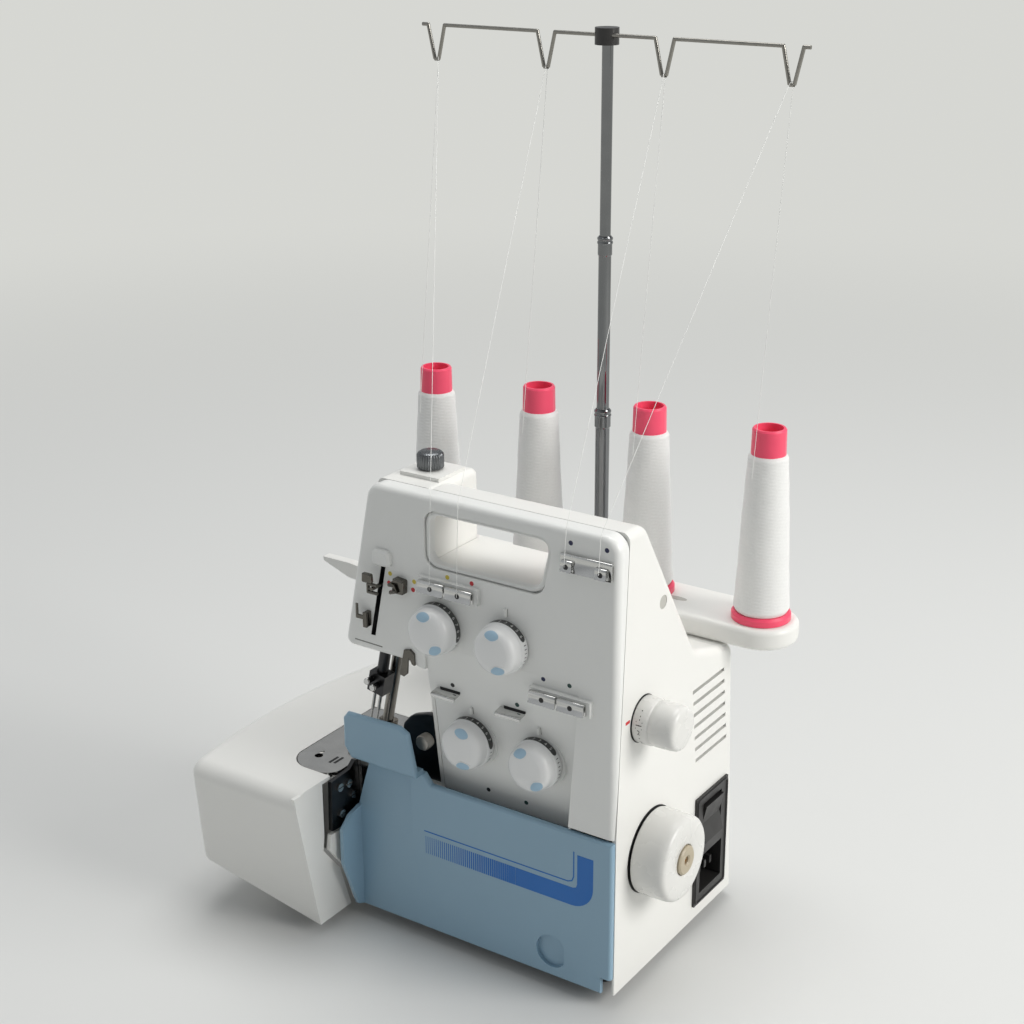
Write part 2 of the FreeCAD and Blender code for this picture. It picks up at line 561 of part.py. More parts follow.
rocker = prism("front", [
    ("-3.6", "inlet_high - 7.6"), ("-0.8", "inlet_high - 20"), ("-3.6", "inlet_high - 32.4"),
    ("2", "inlet_high - 32"), ("8", "inlet_high - 26"), ("8", "inlet_high - 14"), ("2", "inlet_high - 8")],
    "inlet_front + 8.4", "inlet_back - inlet_front - 16.8")
node("rocker_switch", joined(rocker, rod("y", "2", "inlet_front + 8.1", "inlet_high - 20", "2",
                                         "inlet_back - inlet_front - 16.2")))
node("screw_plug", rod("x", "wall", "plug_v", "plug_z", "plug_radius - 0.06", "wall - 0.4"))

# Four tension dials on their posts, each pressing a pair of discs behind it.
posts, discs = [], []
for name, u, z, face in DIALS:
    start = f"{face} - 0.4"
    node("tension_dial_" + name, turned(
        [("0", "dial_tall - 2.5"), ("post_radius + 0.06", "dial_tall - 2.5"), ("post_radius + 0.06", "5.5"),
         ("dial_cap - 0.6", "5.5"), ("dial_cap - 0.6", "0.2"), ("dial_radius", "0.2"), ("dial_radius", "5.5"),
         ("dial_cap + 0.6", "7.5"), ("dial_cap", "dial_tall - 2"), ("dial_cap - 1.8", "dial_tall"),
         ("0", "dial_tall")], u, start, z, "-y"))
    posts.append(turned([("0", "-24"), ("post_radius", "-24"), ("post_radius", "dial_tall - 3"),
                         ("0", "dial_tall - 3")], u, start, z, "-y"))
    for lift in ("0.4", "1.6"):
        discs.append(turned([("post_radius + 0.4", lift), ("dial_cap - 2.6", lift),
                             ("dial_cap - 2.6", f"{lift} + 0.8"), ("post_radius + 0.4", f"{lift} + 0.8")],
                            u, start, z, "-y"))
node("tension_posts", group(*posts))
node("tension_discs", group(*discs))

# Polished thread guides on the panel: a rolled plate at the top right, two slotted clips
# by the dials, and two small folded plates for the loopers' threads.
top_guide = [box("3", "34.5", "panel_face - 1.6", "panel_face - 0.2", "body_top - 23.5", "body_top - 14.5"),
             rod("x", "34.5", "panel_face - 1.9", "body_top - 14.5", "1.5", "31.5")]
for left, right in (("6.5", "10.5"), ("27.5", "31.5")):
    top_guide.append(box(left, right, "panel_face - 5", "panel_face - 1.5", "body_top - 23.5",
                         "body_top - 22"))
    top_guide.append(box(left, right, "panel_face - 5", "panel_face - 4", "body_top - 23.5", "body_top - 18"))
guides = [joined(*top_guide)]
for left, right, low in (("dial_one_u - 25.5", "dial_one_u - 8.1", "grip_low - 13.5"),
                         ("dial_one_u - 6.9", "dial_one_u + 10.5", "grip_low - 13.5"),
                         ("17", "33.8", "recess_top - 14.5"), ("35", "52", "recess_top - 14.5")):
    clip = joined(box(left, right, "panel_face - 4.2", "panel_face - 3.2", low, f"{low} + 7"),
                  box(left, right, "panel_face - 6.4", "panel_face - 3.3", f"{low} + 6", f"{low} + 7"),
                  box(left, right, "panel_face - 6.4", "panel_face - 5.4", f"{low} + 1.5", f"{low} + 7"))
    guides.append(clip)
for left, right in (("dial_three_u + 7", "dial_three_u + 23.4"), ("dial_four_u + 8.2",
                                                              "dial_four_u + 25.2")):
    face = "panel_face + (recess_top - dial_lower_z - 25.4) * recess_slope"
    low = "dial_lower_z + 20.4"
    guides.append(joined(box(left, right, f"{face} - 5", f"{face} - 0.4", f"{low} + 6", f"{low} + 7.2"),
                         box(left, right, f"{face} - 6", f"{face} - 5", low, f"{low} + 7.2"),
                         box(f"{left} + 5", f"{left} + 8", f"{face} - 9", f"{face} - 5", low, f"{low} + 1")))
node("thread_guides", group(*guides))


def bent(points, radius):
    """A round wire along straight runs with rounded turns."""
    path = Part.makePolygon(points)
    run = points[1] - points[0]
    ring = Part.Wire(Part.Circle(points[0], run, radius).toShape())
    return path.makePipeShell([ring], True, False, 2).Solids[0]


HOOKS = (
    (0.7, (("+ 4", "panel_face - 0.3", "- 75"), ("+ 4", "-5", "- 75"), ("+ 4", "-5", "- 82"), ("+ 7", "-7",
                                                            "- 85"),
           ("+ 10", "-5", "- 82"))),
    (0.8, (("- 18", "panel_face - 0.3", "- 56"), ("- 18", "-4", "- 56"), ("- 23", "-4", "- 56"), ("- 23",
                                                            "-4", "- 60"),
           ("- 17", "-4", "- 60"))),
    (0.9, (("- 22", "8", "- 104.3"), ("- 20.5", "8", "- 112"), ("- 18", "8", "- 117.5"), ("- 22", "6",
                                                            "- 119"),
           ("- 25.5", "6", "- 115"))))
hooks = [bent([at(f"head_top_left {u}", v, f"body_top {z}") for u, v, z in spots], radius) for radius,
         spots in HOOKS]
node("thread_hooks", group(*[shaped(hook) for hook in hooks]))
take_u, take_z = "head_top_left - 7.4", "body_top - 60"
take_up = joined(rod("y", take_u, "-7", take_z, "1.2", "28"),
                 box(f"{take_u} - 2.6", f"{take_u} + 3.4", "14", "20", f"{take_z} - 3", f"{take_z} + 3"),
                 rod("x", f"{take_u} + 3.4", "-6", f"{take_z} + 2.4", "1", "7"),
                 rod("x", f"{take_u} + 3.4", "-6", f"{take_z} - 2.4", "1", "7"),
                 box(f"{take_u} + 2.4", f"{take_u} + 3.4", "-7", "-5", f"{take_z} - 2.4", f"{take_z} + 2.4"))
node("take_up", take_up)

# Needle bar, clamp and needles; presser bar and foot; the inner blocks that guide both bars.
guide_blocks = [box("column_width + wall + 2", "head_top_left + 10", "17", "44", "head_low + 11",
                    "head_low + 21"),
                box("column_width + wall + 2", "head_top_left", "17", "44", "head_low + 59", "head_low + 67")]
bar_bores = [leaning_rod("needle", "head_low + 5", "head_low + 75", "bar_radius + 0.06"),
             leaning_rod("presser", "head_low + 5", "head_low + 75", "bar_radius + 0.06"),
             box("head_top_left - 14", "head_top_left + 6", "12", "21.2", "head_low + 9", "head_low + 69")]
node("head_frame", cut(joined(*guide_blocks), *bar_bores))
node("needle_bar", leaning_rod("needle", "needle_ref_z - 2", "body_top - 19", "bar_radius"))
clamp = cut(joined(leaning_box("needle", "needle_ref_z - 5", "needle_ref_z + 8", "5.5", "6", "5.5", "4.2"),
                   rod("y", "needle_u + 2.4", "needle_v - 9.5", "needle_ref_z + 4", "1.9", "5"),
                   rod("y", "needle_u - 1.8", "needle_v - 9.5", "needle_ref_z + 1", "1.9", "5")),
            leaning_rod("needle", "needle_ref_z - 2.1", "needle_ref_z + 22", "bar_radius + 0.06"),
            leaning_rod("needle", "needle_ref_z - 8", "needle_ref_z - 2.2", "1.06", "2.2", "-1.2"),
            leaning_rod("needle", "needle_ref_z - 8", "needle_ref_z - 2.2", "1.06", "-2.2", "-1.2"))
node("needle_clamp", clamp)
needles = []
for shift, tip in (("2.2", "plate_top + 4.7"), ("-2.2", "plate_top + 3.2")):
    needles.append(joined(leaning_rod("needle", "needle_ref_z - 18", "needle_ref_z - 2.6", "1", shift,
                                      "-1.2"),
                          leaning_rod("needle", tip, "needle_ref_z - 16", "0.5", shift, "-1.2")))
node("needles", group(*needles))
node("presser_bar", leaning_rod("presser", "plate_top + 17.2", "body_top - 13", "bar_radius"))
foot = joined(leaning_box("presser", "plate_top + 4.2", "plate_top + 16.9", "4.5", "4.5", "3", "4.5"),
              box("presser_u", "presser_u + 20", "14.6", "46", "plate_top + 0.6", "plate_top + 2.6"),
              box("presser_u + 4", "presser_u + 14", "30", "42", "plate_top + 2", "plate_top + 6.2"))
foot_slots = [box("presser_u + 5", "presser_u + 18.5", "18", "29.5", "plate_top", "plate_top + 4"),
              box("presser_u + 7.5", "presser_u + 12", "12", "19", "plate_top", "plate_top + 4")]
node("presser_foot", cut(foot, *foot_slots))
lever = prism("front", [
    ("lever_u - 5", "lever_z - 4"), ("lever_u + 1", "lever_z - 6"), ("lever_u + 26", "lever_z - 5.5"),
    ("lever_u + 46", "lever_z - 3.5"), ("lever_tip", "lever_z + 3.5"), ("lever_tip + 0.5", "lever_z + 6"),
    ("lever_u + 46", "lever_z + 6"), ("lever_u + 24", "lever_z + 4"), ("lever_u", "lever_z + 6"),
    ("lever_u - 5", "lever_z + 4")], "lever_v", "lever_thick")
node("lifter_lever", cut(lever, rod("y", "lever_u", "lever_v - 2", "lever_z", "2.56", "lever_thick + 4")))
node("pressure_regulator", turned(
    [("0", "-7"), ("4.2", "-7"), ("4.2", "2.6"), ("regulator_radius", "2.6"), ("regulator_radius",
                                                            "regulator_tall + 1"),
     ("regulator_radius - 1.5", "regulator_tall + 2.6"), ("0", "regulator_tall + 2.6")],
    "regulator_u", "regulator_v", "body_top", "z"))

# Free arm, stitch plate with its tongue, side cover, black knife bracket and the moving parts below.
node("free_arm", cut(box("body_width + 0.3", "arm_left", "arm_front", "arm_back", "arm_low", "bed_top"),
                     box("body_width - 2", "arm_left - arm_wall", "arm_front + arm_wall",
                         "arm_back - arm_wall",
                         "arm_low + arm_wall", "bed_top + 1")))
plate_form = prism("plan", [
    ("plate_right", "plate_front"), ("plate_left", "plate_front"), ("plate_left", "plate_back"),
    ("plate_inner", "plate_back"), ("plate_inner", "bed_front + 1"), ("plate_right", "bed_front + 1")],
    "bed_top + 0.3", "plate_thick")
tip_x, tip_y = val("right_x - plate_left"), val("front_y + plate_front")
rounded(plate_form, "plate_round", lambda m, w: abs(w.z) > 0.9 and near(m.x, tip_x) and near(m.y, tip_y))
heel_x = val("right_x - plate_right")
rounded(plate_form, "plate_round - 6", lambda m, w: abs(w.z) > 0.9 and near(m.x, heel_x) and near(m.y, tip_y))
plate_slots = [box("body_width - 2", "body_width + 9", "21.5", "28.5", "bed_top - 1", "plate_top + 1"),
               rod("z", "plate_left - 12", "0", "bed_top - 1", "2.6", "10")]
for left in ("body_width - 10.4", "body_width - 5.8", "body_width + 11.4"):
    plate_slots.append(box(left, f"{left} + 3", "20", "52", "bed_top - 1", "plate_top + 1"))
node("stitch_plate", cut(plate_form, *plate_slots))
feed = [box("body_width - 10.4", "body_width + 14.4", "33", "43", "bed_top - 9.6", "bed_top - 3.2")]
for left in ("body_width - 9.8", "body_width - 5.2", "body_width + 12"):
    feed.append(box(left, f"{left} + 1.8", "25", "47", "bed_top - 4.6", "plate_top + 0.4"))
node("feed_dog", joined(*feed))
node("arm_side_cover", prism("side", [
    ("-22", "65.4"), ("-23.5", "56"), ("-9.5", "38"), ("0", "10"), ("12", "10"), ("12", "65.4")],
    "bracket_u", "bracket_thick"))
node("knife_bracket", prism("side", [
    ("-19.5", "100"), ("-20.5", "67.6"), ("-3", "66"), ("8", "72"), ("13", "80"), ("13", "102"), ("3", "105"),
    ("-2", "101")], "bracket_u", "bracket_thick"))
knife_screws = []
for v, z in (("-13", "94"), ("-4.5", "93"), ("-0.5", "84"), ("-12", "76")):
    knife_screws.append(cut(rod("x", "bracket_u - 0.05", v, z, "2.6", "1.6"),
                            box("bracket_u - 3", "bracket_u - 1", f"{v} - 3", f"{v} + 3", f"{z} - 0.4",
                                f"{z} + 0.4")))
node("knife_screws", group(*knife_screws))
node("upper_knife", prism("side", [
    ("6", "48"), ("12.6", "48"), ("12.6", "106"), ("9", "108.5"), ("4.6", "108.5"), ("5.2", "102"), ("6",
                                                            "99")],
    "bracket_u - 2.5", "2.2"))
LOWER_LOOPER = ((-6, -4), (0, -7), (6, -4), (10, 32), (20, 40), (33, 40), (33, 43), (16, 46), (4, 36))
UPPER_LOOPER = ((-6, 2), (-6, -5), (5, -6), (7, 2), (20, 26), (27, 34), (24, 36), (15, 30))
low_u, low_z = "body_width - 24", "bed_top - 58.6"
high_u, high_z = "body_width - 34", "bed_top - 44.6"
node("lower_looper", cut(prism("front", [(f"{low_u} + ({a})", f"{low_z} + ({b})") for a,
                                         b in LOWER_LOOPER], "30", "3"),
                         rod("y", low_u, "25", low_z, "3.06", "14")))
node("upper_looper", cut(prism("front", [(f"{high_u} + ({a})", f"{high_z} + ({b})") for a,
                                         b in UPPER_LOOPER], "21", "3"),
                         rod("y", high_u, "18", high_z, "3.06", "12")))
node("pivot_pins", group(
    rod("y", low_u, "17", low_z, "3", "bed_back - wall - 17.1"),
    rod("y", high_u, "17", high_z, "3", "bed_back - wall - 17.1"),
    rod("y", "lever_u", "44.2", "lever_z", "2.5", "head_back - wall - 45.3")))

# Looper cover: a thin plate with a raised tab at the left, a scoop for the finger and lugs on its hinge rod.
cover = prism("front", [
    ("0.4", "cover_low"), ("cover_width", "cover_low"), ("cover_width", "cover_high - 35"),
    ("cover_width - 10", "cover_high"), ("cover_step + 5", "cover_high"), ("cover_step",
                                                            "cover_top"), ("0.4",
                                                            "cover_top")], "0", "cover_thick")
rounded(cover, "cover_thick * 0.6", lambda m, w: near(m.y, 0) and abs(w.y) < 0.1)
tab = prism("front", [
    ("tab_right", "cover_high - 1"), ("tab_right", "cover_high + 3"), ("tab_right + 5", "tab_top - 3"),
    ("tab_right + 11", "tab_top"), ("tab_left - 3", "tab_top - 1"), ("tab_left", "tab_top - 5"),
    ("tab_left", "cover_high + 6"), ("tab_left - 5",
                                     "cover_high - 1")], "tab_front", "panel_face - 0.5 - tab_front")
rounded(tab, "2", lambda m, w: near(m.y, 0) and abs(w.y) < 0.1)
tab_hollow = box("tab_right - 1", "tab_left + 1", "tab_front + 2.8", "10", "cover_high + 2.6", "tab_top + 5")
flange = prism("side", [
    ("1", "cover_low + 0.5"), ("-5.5", "cover_low + 3.5"), ("-18", "45.6"), ("-18", "68.8"), ("-10", "75.6"),
    ("-1", "cover_high - 35"), ("1", "cover_high - 35")], "cover_width - 2.6", "2.5")
scoop_back = joined(box("scoop_u - 14", "scoop_u + 14", "cover_thick - 0.6", "cover_thick + scoop_deep",
                        "scoop_z - 13", "scoop_z + 13"))
scoop = cut(rod("y", "scoop_u", "-5", "scoop_z", "scoop_radius", "cover_thick + scoop_deep + 3"),
            box("scoop_u - 20", "scoop_u - 8.5", "-6", "20", "scoop_z - 20", "scoop_z + 20"))
window = prism("side", [
    ("-2", "cover_high - 43"), ("0", "cover_high - 43"), ("2.1", "cover_high - 1"), ("-2", "cover_high - 1")],
    "tab_right + 8.5", "cover_width - tab_right - 10.5")
lugs = []
for lug_u in ("18", "60", "110", "160"):
    lugs.append(rod("x", f"{lug_u} + 4", "hinge_v", "hinge_z", "hinge_radius + 1.3", "8"))
    lugs.append(box(f"{lug_u} - 4", f"{lug_u} + 4", "cover_thick - 0.5", "hinge_v", "hinge_z - 3",
                    "hinge_z + 3"))
heel_relief = box("-1", "6.9", "-1", "cover_thick + 1", "cover_low - 1", "hinge_z + 5")
cover_form = cut(joined(cut(joined(cover, cut(tab, tab_hollow)), window), flange, scoop_back, *lugs),
                 heel_relief,
                 scoop, rod("x", "172", "hinge_v", "hinge_z", "hinge_radius + 0.06", "166"))
node("looper_cover", cover_form)
node("hinge_rod", rod("x", "170", "hinge_v", "hinge_z", "hinge_radius", "160"))


# Extension table: a tapering hollow box that slides off the free arm to the left.
def table_section(u, low, front_low, inset, top):
    """One end of the table as a closed outline across the machine."""
    rake = (val("table_front") - val(front_low)) / (val("table_top") - val(low))
    front = val("table_front") + inset
    foot_front = val(front_low) + inset + rake * (inset if inset else 0)
    corners = [(front, val(top)), (val("table_back") - inset, val(top)),
               (val("table_back") - inset - 8, val(low) - (4 if inset else 0)),
               (foot_front, val(low) - (4 if inset else 0))]
    spots = [Vec(val(f"right_x - ({u})"), val("front_y") + v, z) for v, z in corners]
    return Part.makePolygon(spots + spots[:1])


outer = Part.makeLoft([table_section("table_right", "table_low", "table_front_low", 0, "table_top"),
                       table_section("table_left", "table_low_left", "table_front + 5", 0,
                                     "table_top")], True, True)
bow = [at("table_left - 8", "table_front", "0"), at("table_left", "table_front + 95", "0"),
       at("table_left - 16", "table_back", "0")]
edge = Part.Arc(*bow).toShape()
rest = Part.makePolygon([bow[2], at("table_right", "table_back", "0"), at("table_right", "table_front",
                                                            "0"), bow[0]])
plan = Part.Face(Part.Wire([edge] + rest.Edges)).extrude(Vec(0, 0, val("body_top")))
outer = outer.common(plan).Solids[0]
far_x, rim_z, rim_y = val("right_x - table_left + 20"), val("table_top"), val("front_y + table_front")
soft = []
for e in outer.Edges:
    m = e.valueAt((e.FirstParameter + e.LastParameter) / 2)
    if m.x < far_x or near(m.z, rim_z) and near(m.y, rim_y):
        soft.append(e)
outer = outer.makeFillet(val("table_round"), soft)
inner = Part.makeLoft([table_section("table_right - 1", "table_low", "table_front_low", 5.5,
                                     "table_top - table_skin"),
                       table_section("table_left - 20", "table_low_left", "table_front + 5", 5.5,
                                     "table_top - table_skin")], True, True)
shell = shaped(outer.cut(inner).Solids[0])
cheek = prism("side", [
    ("table_front + 0.5", "table_top - 1"), ("-24", "table_top - 1"), ("-24", "66"), ("-25.5", "55.5"),
    ("-11", "37"), ("-1.6", "table_low"), ("table_front_low + 0.4", "table_low")], "table_right", "2.4")
notch = prism("plan", [
    ("table_right - 2", "plate_front - table_gap"), ("plate_left + table_gap", "plate_front - table_gap"),
    ("plate_left + table_gap", "plate_back + table_gap"), ("table_right - 2", "plate_back + table_gap")],
    "table_top - 8", "20")
notch_x, notch_y = val("right_x - plate_left - table_gap"), val("front_y + plate_front - table_gap")
rounded(notch, "plate_round", lambda m, w: abs(w.z) > 0.9 and near(m.x, notch_x) and near(m.y, notch_y))
node("extension_table", cut(joined(shell, cheek), notch))

# Spool stand with its pins, four cones with wound thread, and the telescopic pole with its thread tree.
stand = prism("plan", [
    ("-stand_right", "spool_v - stand_half"), ("stand_left", "spool_v - stand_half"),
    ("stand_left", "spool_v + stand_half"), ("-stand_right", "spool_v + stand_half")],
    "shoulder_height + 0.3", "stand_thick")
rounded(stand, "stand_half - 0.5", lambda m, w: abs(w.z) > 0.9)
stand_z = val("stand_thick")
rounded(stand, "3.5", lambda m, w: near(m.z, stand_z) or near(m.z, 0))
SPOOLS = [f"spool_first + {i} * spool_pitch" for i in range(4)]
pin_holes = [rod("z", u, "spool_v", "stand_top - 10", "spool_pin + 0.04", "20") for u in SPOOLS]
node("spool_stand", cut(stand, rod("z", "pole_u", "pole_v", "stand_top - 12", "pole_low_radius + 0.04", "30"),
                        *pin_holes))
node("spool_pins", group(*[rod("z", u, "spool_v", "stand_top - 9.8", "spool_pin", "90") for u in SPOOLS]))
node("spool_cores", group(*[turned(
    [("spool_pin + 0.8", "0.2"), ("core_flange", "0.2"), ("core_flange", "3.6"), ("core_flange - 1.2", "5"),
     ("pack_low - 4.5", "5"), ("pack_high - 4", "core_tall - 20"), ("pack_high - 4", "core_tall - 18.2"),
     ("core_collar", "core_tall - 17.8"), ("core_collar - 0.3", "core_tall - 1"), ("core_collar - 1",
                                                            "core_tall"),
     ("core_collar - 2.2", "core_tall"), ("core_collar - 2.8", "core_tall - 16"),
     ("spool_pin + 0.8", "core_tall - 22")],
    u, "spool_v", "stand_top", "z") for u in SPOOLS]))
node("thread_packs", group(*[turned(
    [("pack_low - 4.1", "pack_base"), ("pack_low - winding_radius * 2 - 0.1", "pack_base"),
     ("pack_high - winding_radius * 2 - 0.1 + 1.6", "pack_end"), ("pack_high - 3.6", "pack_end")],
    u, "spool_v", "stand_top", "z") for u in SPOOLS]))


def arc_between(start, way, end):
    """The circular arc that leaves start along way and ends at end, by its middle point."""
    chord = end - start
    half = chord * 0.5
    lean_angle = way.getAngle(chord)
    side = way - chord * (way.dot(chord) / chord.dot(chord))
    if side.Length < 1e-9:
        return Part.LineSegment(start, end).toShape()
    side.normalize()
    return Part.Arc(start, start + half + side * (half.Length * math.tan(lean_angle / 2)), end).toShape()


def winding(middle):
    """One unbroken thread laid round a cone, each quarter turn drawn as a pair of arcs."""
    turns = int(val("winding_turns"))
    tube = val("winding_radius")
    low_r, high_r = val("pack_low") - tube, val("pack_high") - tube + 1.6
    low_z, high_z = val("pack_base") + tube + 0.2, val("pack_end") - tube - 0.2
    steps = turns * 4

    def spot(k):
        part = k / steps
        radius = low_r + (high_r - low_r) * part
        angle = math.pi / 2 * k
        return middle + Vec(radius * math.cos(angle), radius * math.sin(angle),
                            low_z + (high_z - low_z) * part)

    def way(k):
        part = k / steps
        radius = low_r + (high_r - low_r) * part
        angle = math.pi / 2 * k
        fall = (high_r - low_r) / (steps * math.pi / 2)
        rise = (high_z - low_z) / (steps * math.pi / 2)
        line = Vec(fall * math.cos(angle) - radius * math.sin(angle),
                   fall * math.sin(angle) + radius * math.cos(angle), rise)
        return line.normalize()
    edges = []
    for k in range(steps):
        p, r, a, b = spot(k), spot(k + 1), way(k), way(k + 1)
        reach = r - p
        total = a + b
        turn = 2 * (1 - a.dot(b))
        along = reach.dot(total)
        d = (-along + math.sqrt(along * along + turn * reach.dot(reach))) / turn
        meet = (p + a * d + r - b * d) * 0.5
        edges.append(arc_between(p, a, meet))
        edges.append(arc_between(meet, (meet - p - a * d).normalize(), r))
    ring = Part.Wire(Part.Circle(spot(0), way(0), tube).toShape())
    least = (high_z - low_z) / turns * math.cos(math.atan2(low_r - high_r, high_z - low_z)) - 2 * tube
    print(f"thread winding: {turns} turns, least gap between turns {least:.2f} mm")
    return Part.Wire(edges).makePipeShell([ring], True, False, 0).Solids[0]


wound = winding(at(SPOOLS[0], "spool_v", "stand_top"))
windings = []
for i in range(4):
    windings.append(shaped(wound.copy()))
    windings[-1].setExpression("Placement.Base.x", q(f"-{i} * spool_pitch"))
node("thread_windings", group(*windings))

mid_bore = "pole_mid_radius - pole_wall"
node("pole_lower", turned(
    [("pole_mid_radius + pole_fit", "-11.8"), ("pole_low_radius", "-11.8"),
     ("pole_low_radius", "pole_low_end - stand_top - 12"), ("pole_low_radius + 0.6",
                                                            "pole_low_end - stand_top - 11"),
     ("pole_low_radius + 0.6", "pole_low_end - stand_top - 1"), ("pole_low_radius",
                                                            "pole_low_end - stand_top"),
     ("pole_mid_radius + pole_fit", "pole_low_end - stand_top")], "pole_u", "pole_v", "stand_top", "z"))
node("pole_middle", turned(
    [("pole_top_radius + pole_fit", "pole_low_end - pole_overlap"), ("pole_mid_radius",
                                                            "pole_low_end - pole_overlap"),
     ("pole_mid_radius", "pole_mid_end - 12"), ("pole_mid_radius + 0.5", "pole_mid_end - 11"),
     ("pole_mid_radius + 0.5", "pole_mid_end - 1"), ("pole_mid_radius", "pole_mid_end"),
     ("pole_top_radius + pole_fit", "pole_mid_end")], "pole_u", "pole_v", "0", "z"))
node("pole_upper", rod("z", "pole_u", "pole_v", "pole_mid_end - pole_overlap", "pole_top_radius",
                       "pole_top_end - pole_mid_end + pole_overlap - 3.6"))
tree = []
for u in reversed(SPOOLS):
    for side, drop in (("tree_open", "0"), ("1.4", "tree_drop"), ("-1.4", "tree_drop"), ("-tree_open", "0")):
        tree.append(at(f"{u} + ({side})", "tree_v", f"tree_z - ({drop})"))
tree.insert(0, tree[0] + Vec(-4, 0, 0))
tree.append(tree[-1] + Vec(4, 0, 0))
node("thread_tree", shaped(bent(tree, val("tree_wire"))))
node("pole_cap", cut(rod("z", "pole_u", "pole_v - 1", "tree_z - 5.5", "cap_radius", "9.5"),
                     rod("x", "pole_u + 20", "tree_v", "tree_z", "tree_wire + 0.05", "40")))

# Threads: each leaves its cone, turns over the bottom of its loop on the tree, and runs taut
# to the top edge of the panel and down to its guide.
def taut(start, ring, ring_radius, edge, edge_radius, end):
    """A thread over a ring and over an edge: straight runs joined by the arcs it lies on."""
    apex = ring
    for _ in range(8):
        rise, fall = (start - apex).normalize(), (edge - apex).normalize()
        inward = (rise + fall).normalize()
        apex = ring - inward * (ring_radius / math.sin(rise.getAngle(fall) / 2))
    path, last = [], start
    for corner, radius, onward in ((apex, ring_radius, edge), (edge, edge_radius, end)):
        back, ahead = (last - corner).normalize(), (onward - corner).normalize()
        half = back.getAngle(ahead) / 2
        reach = radius / math.tan(half)
        middle = corner + (back + ahead).normalize() * (radius / math.sin(half) - radius)
        leave, land = corner + back * reach, corner + ahead * reach
        path.append(Part.LineSegment(last, leave).toShape())
        path.append(Part.Arc(leave, middle, land).toShape())
        last = land
    path.append(Part.LineSegment(last, end).toShape())
    hoop = Part.Wire(Part.Circle(start, path[0].tangentAt(0), val("thread_radius")).toShape())
    return Part.Wire(path).makePipeShell([hoop], True, False, 0).Solids[0]


ENDS = (("8.5", "panel_face - 6.6", "266"), ("29.5", "panel_face - 6.6", "266"),
        ("98.5", "panel_face - 7", "233"), ("117", "panel_face - 7", "233"))
strands = []
for u, (end_u, end_v, end_z) in zip(SPOOLS, ENDS):
    strands.append(shaped(taut(
        at(f"{u} + 3", "spool_v - pack_high - 2.4", "stand_top + pack_end - 9"),
        at(u, "tree_v", "tree_z - tree_drop"), val("tree_wire + thread_radius + 1.2"),
        at(f"{end_u} + 2", "panel_face - 1.2", "body_top + 1.2"), 2.5, at(end_u, end_v, end_z))))
node("threads", group(*strands))

doc.recompute()
os.makedirs("parts", exist_ok=True)
bad = [item.Name for item in doc.Objects if "Invalid" in item.State or "Error" in item.State]
for name, item in NODES:
    if item.Shape.isNull() or not item.Shape.isValid() or not item.Shape.Solids:
        bad.append(name)
    item.Shape.exportStep(f"parts/{name}.step")
if bad:
    raise RuntimeError("not built: " + ", ".join(bad))
whole = FreeCAD.BoundBox()
for name, item in NODES:
    whole.add(item.Shape.BoundBox)
print(len(NODES), "pieces", whole)
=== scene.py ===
import math
import random

import bmesh
import bpy
from mathutils import Matrix, Vector


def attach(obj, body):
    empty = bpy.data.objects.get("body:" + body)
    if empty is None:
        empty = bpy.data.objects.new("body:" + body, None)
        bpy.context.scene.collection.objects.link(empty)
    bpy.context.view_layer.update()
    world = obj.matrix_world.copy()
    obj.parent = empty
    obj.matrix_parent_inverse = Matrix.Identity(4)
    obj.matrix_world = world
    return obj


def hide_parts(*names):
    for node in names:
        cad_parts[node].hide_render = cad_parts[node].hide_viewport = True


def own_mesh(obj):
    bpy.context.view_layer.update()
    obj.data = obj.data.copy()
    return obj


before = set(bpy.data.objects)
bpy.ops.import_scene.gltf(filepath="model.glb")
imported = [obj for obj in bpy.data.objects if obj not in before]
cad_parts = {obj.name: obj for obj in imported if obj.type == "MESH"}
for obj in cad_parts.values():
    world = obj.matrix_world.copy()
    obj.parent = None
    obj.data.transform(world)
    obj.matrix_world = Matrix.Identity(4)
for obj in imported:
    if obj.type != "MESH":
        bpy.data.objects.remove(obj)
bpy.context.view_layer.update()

scene = bpy.context.scene
scene.view_settings.view_transform = "Standard"

# Viewpoint and studio: a short telephoto lens to the right of the machine and above its handle.
# The machine stands on a wide pale sweep of paper under one large soft lamp at the right
# and a weaker one overhead, with pale walls all round.
BEARING, TILT, ROLL = math.radians(33.89), math.radians(69.62), math.radians(-0.25)
FLOOR_REACH = 60
lens = bpy.data.cameras.new("viewpoint")
lens.sensor_width = 36
lens.lens = 63.41
viewpoint = bpy.data.objects.new("viewpoint", lens)
viewpoint.location = (0.55454, -0.80278, 0.62010)
aim = Matrix.Rotation(BEARING, 3, "Z") @ Matrix.Rotation(TILT, 3, "X") @ Matrix.Rotation(ROLL, 3, "Z")
viewpoint.rotation_euler = aim.to_euler()
scene.collection.objects.link(viewpoint)
scene.camera = viewpoint


def softbox(name, place, target, width, power, tint):
    lamp = bpy.data.lights.new(name, "AREA")
    lamp.shape = "DISK"
    lamp.size = width
    lamp.energy = power
    lamp.color = tint
    holder = bpy.data.objects.new(name, lamp)
    holder.location = place
    holder.rotation_euler = (Vector(target) - Vector(place)).to_track_quat("-Z", "Y").to_euler()
    scene.collection.objects.link(holder)


softbox("side_lamp", (2.1, 0.35, 1.25), (0, 0, 0.2), 1.3, 38, (1.0, 0.985, 0.955))
softbox("top_lamp", (-0.2, 0.5, 2.3), (0, 0, 0.2), 1.6, 25, (1.0, 0.995, 0.98))

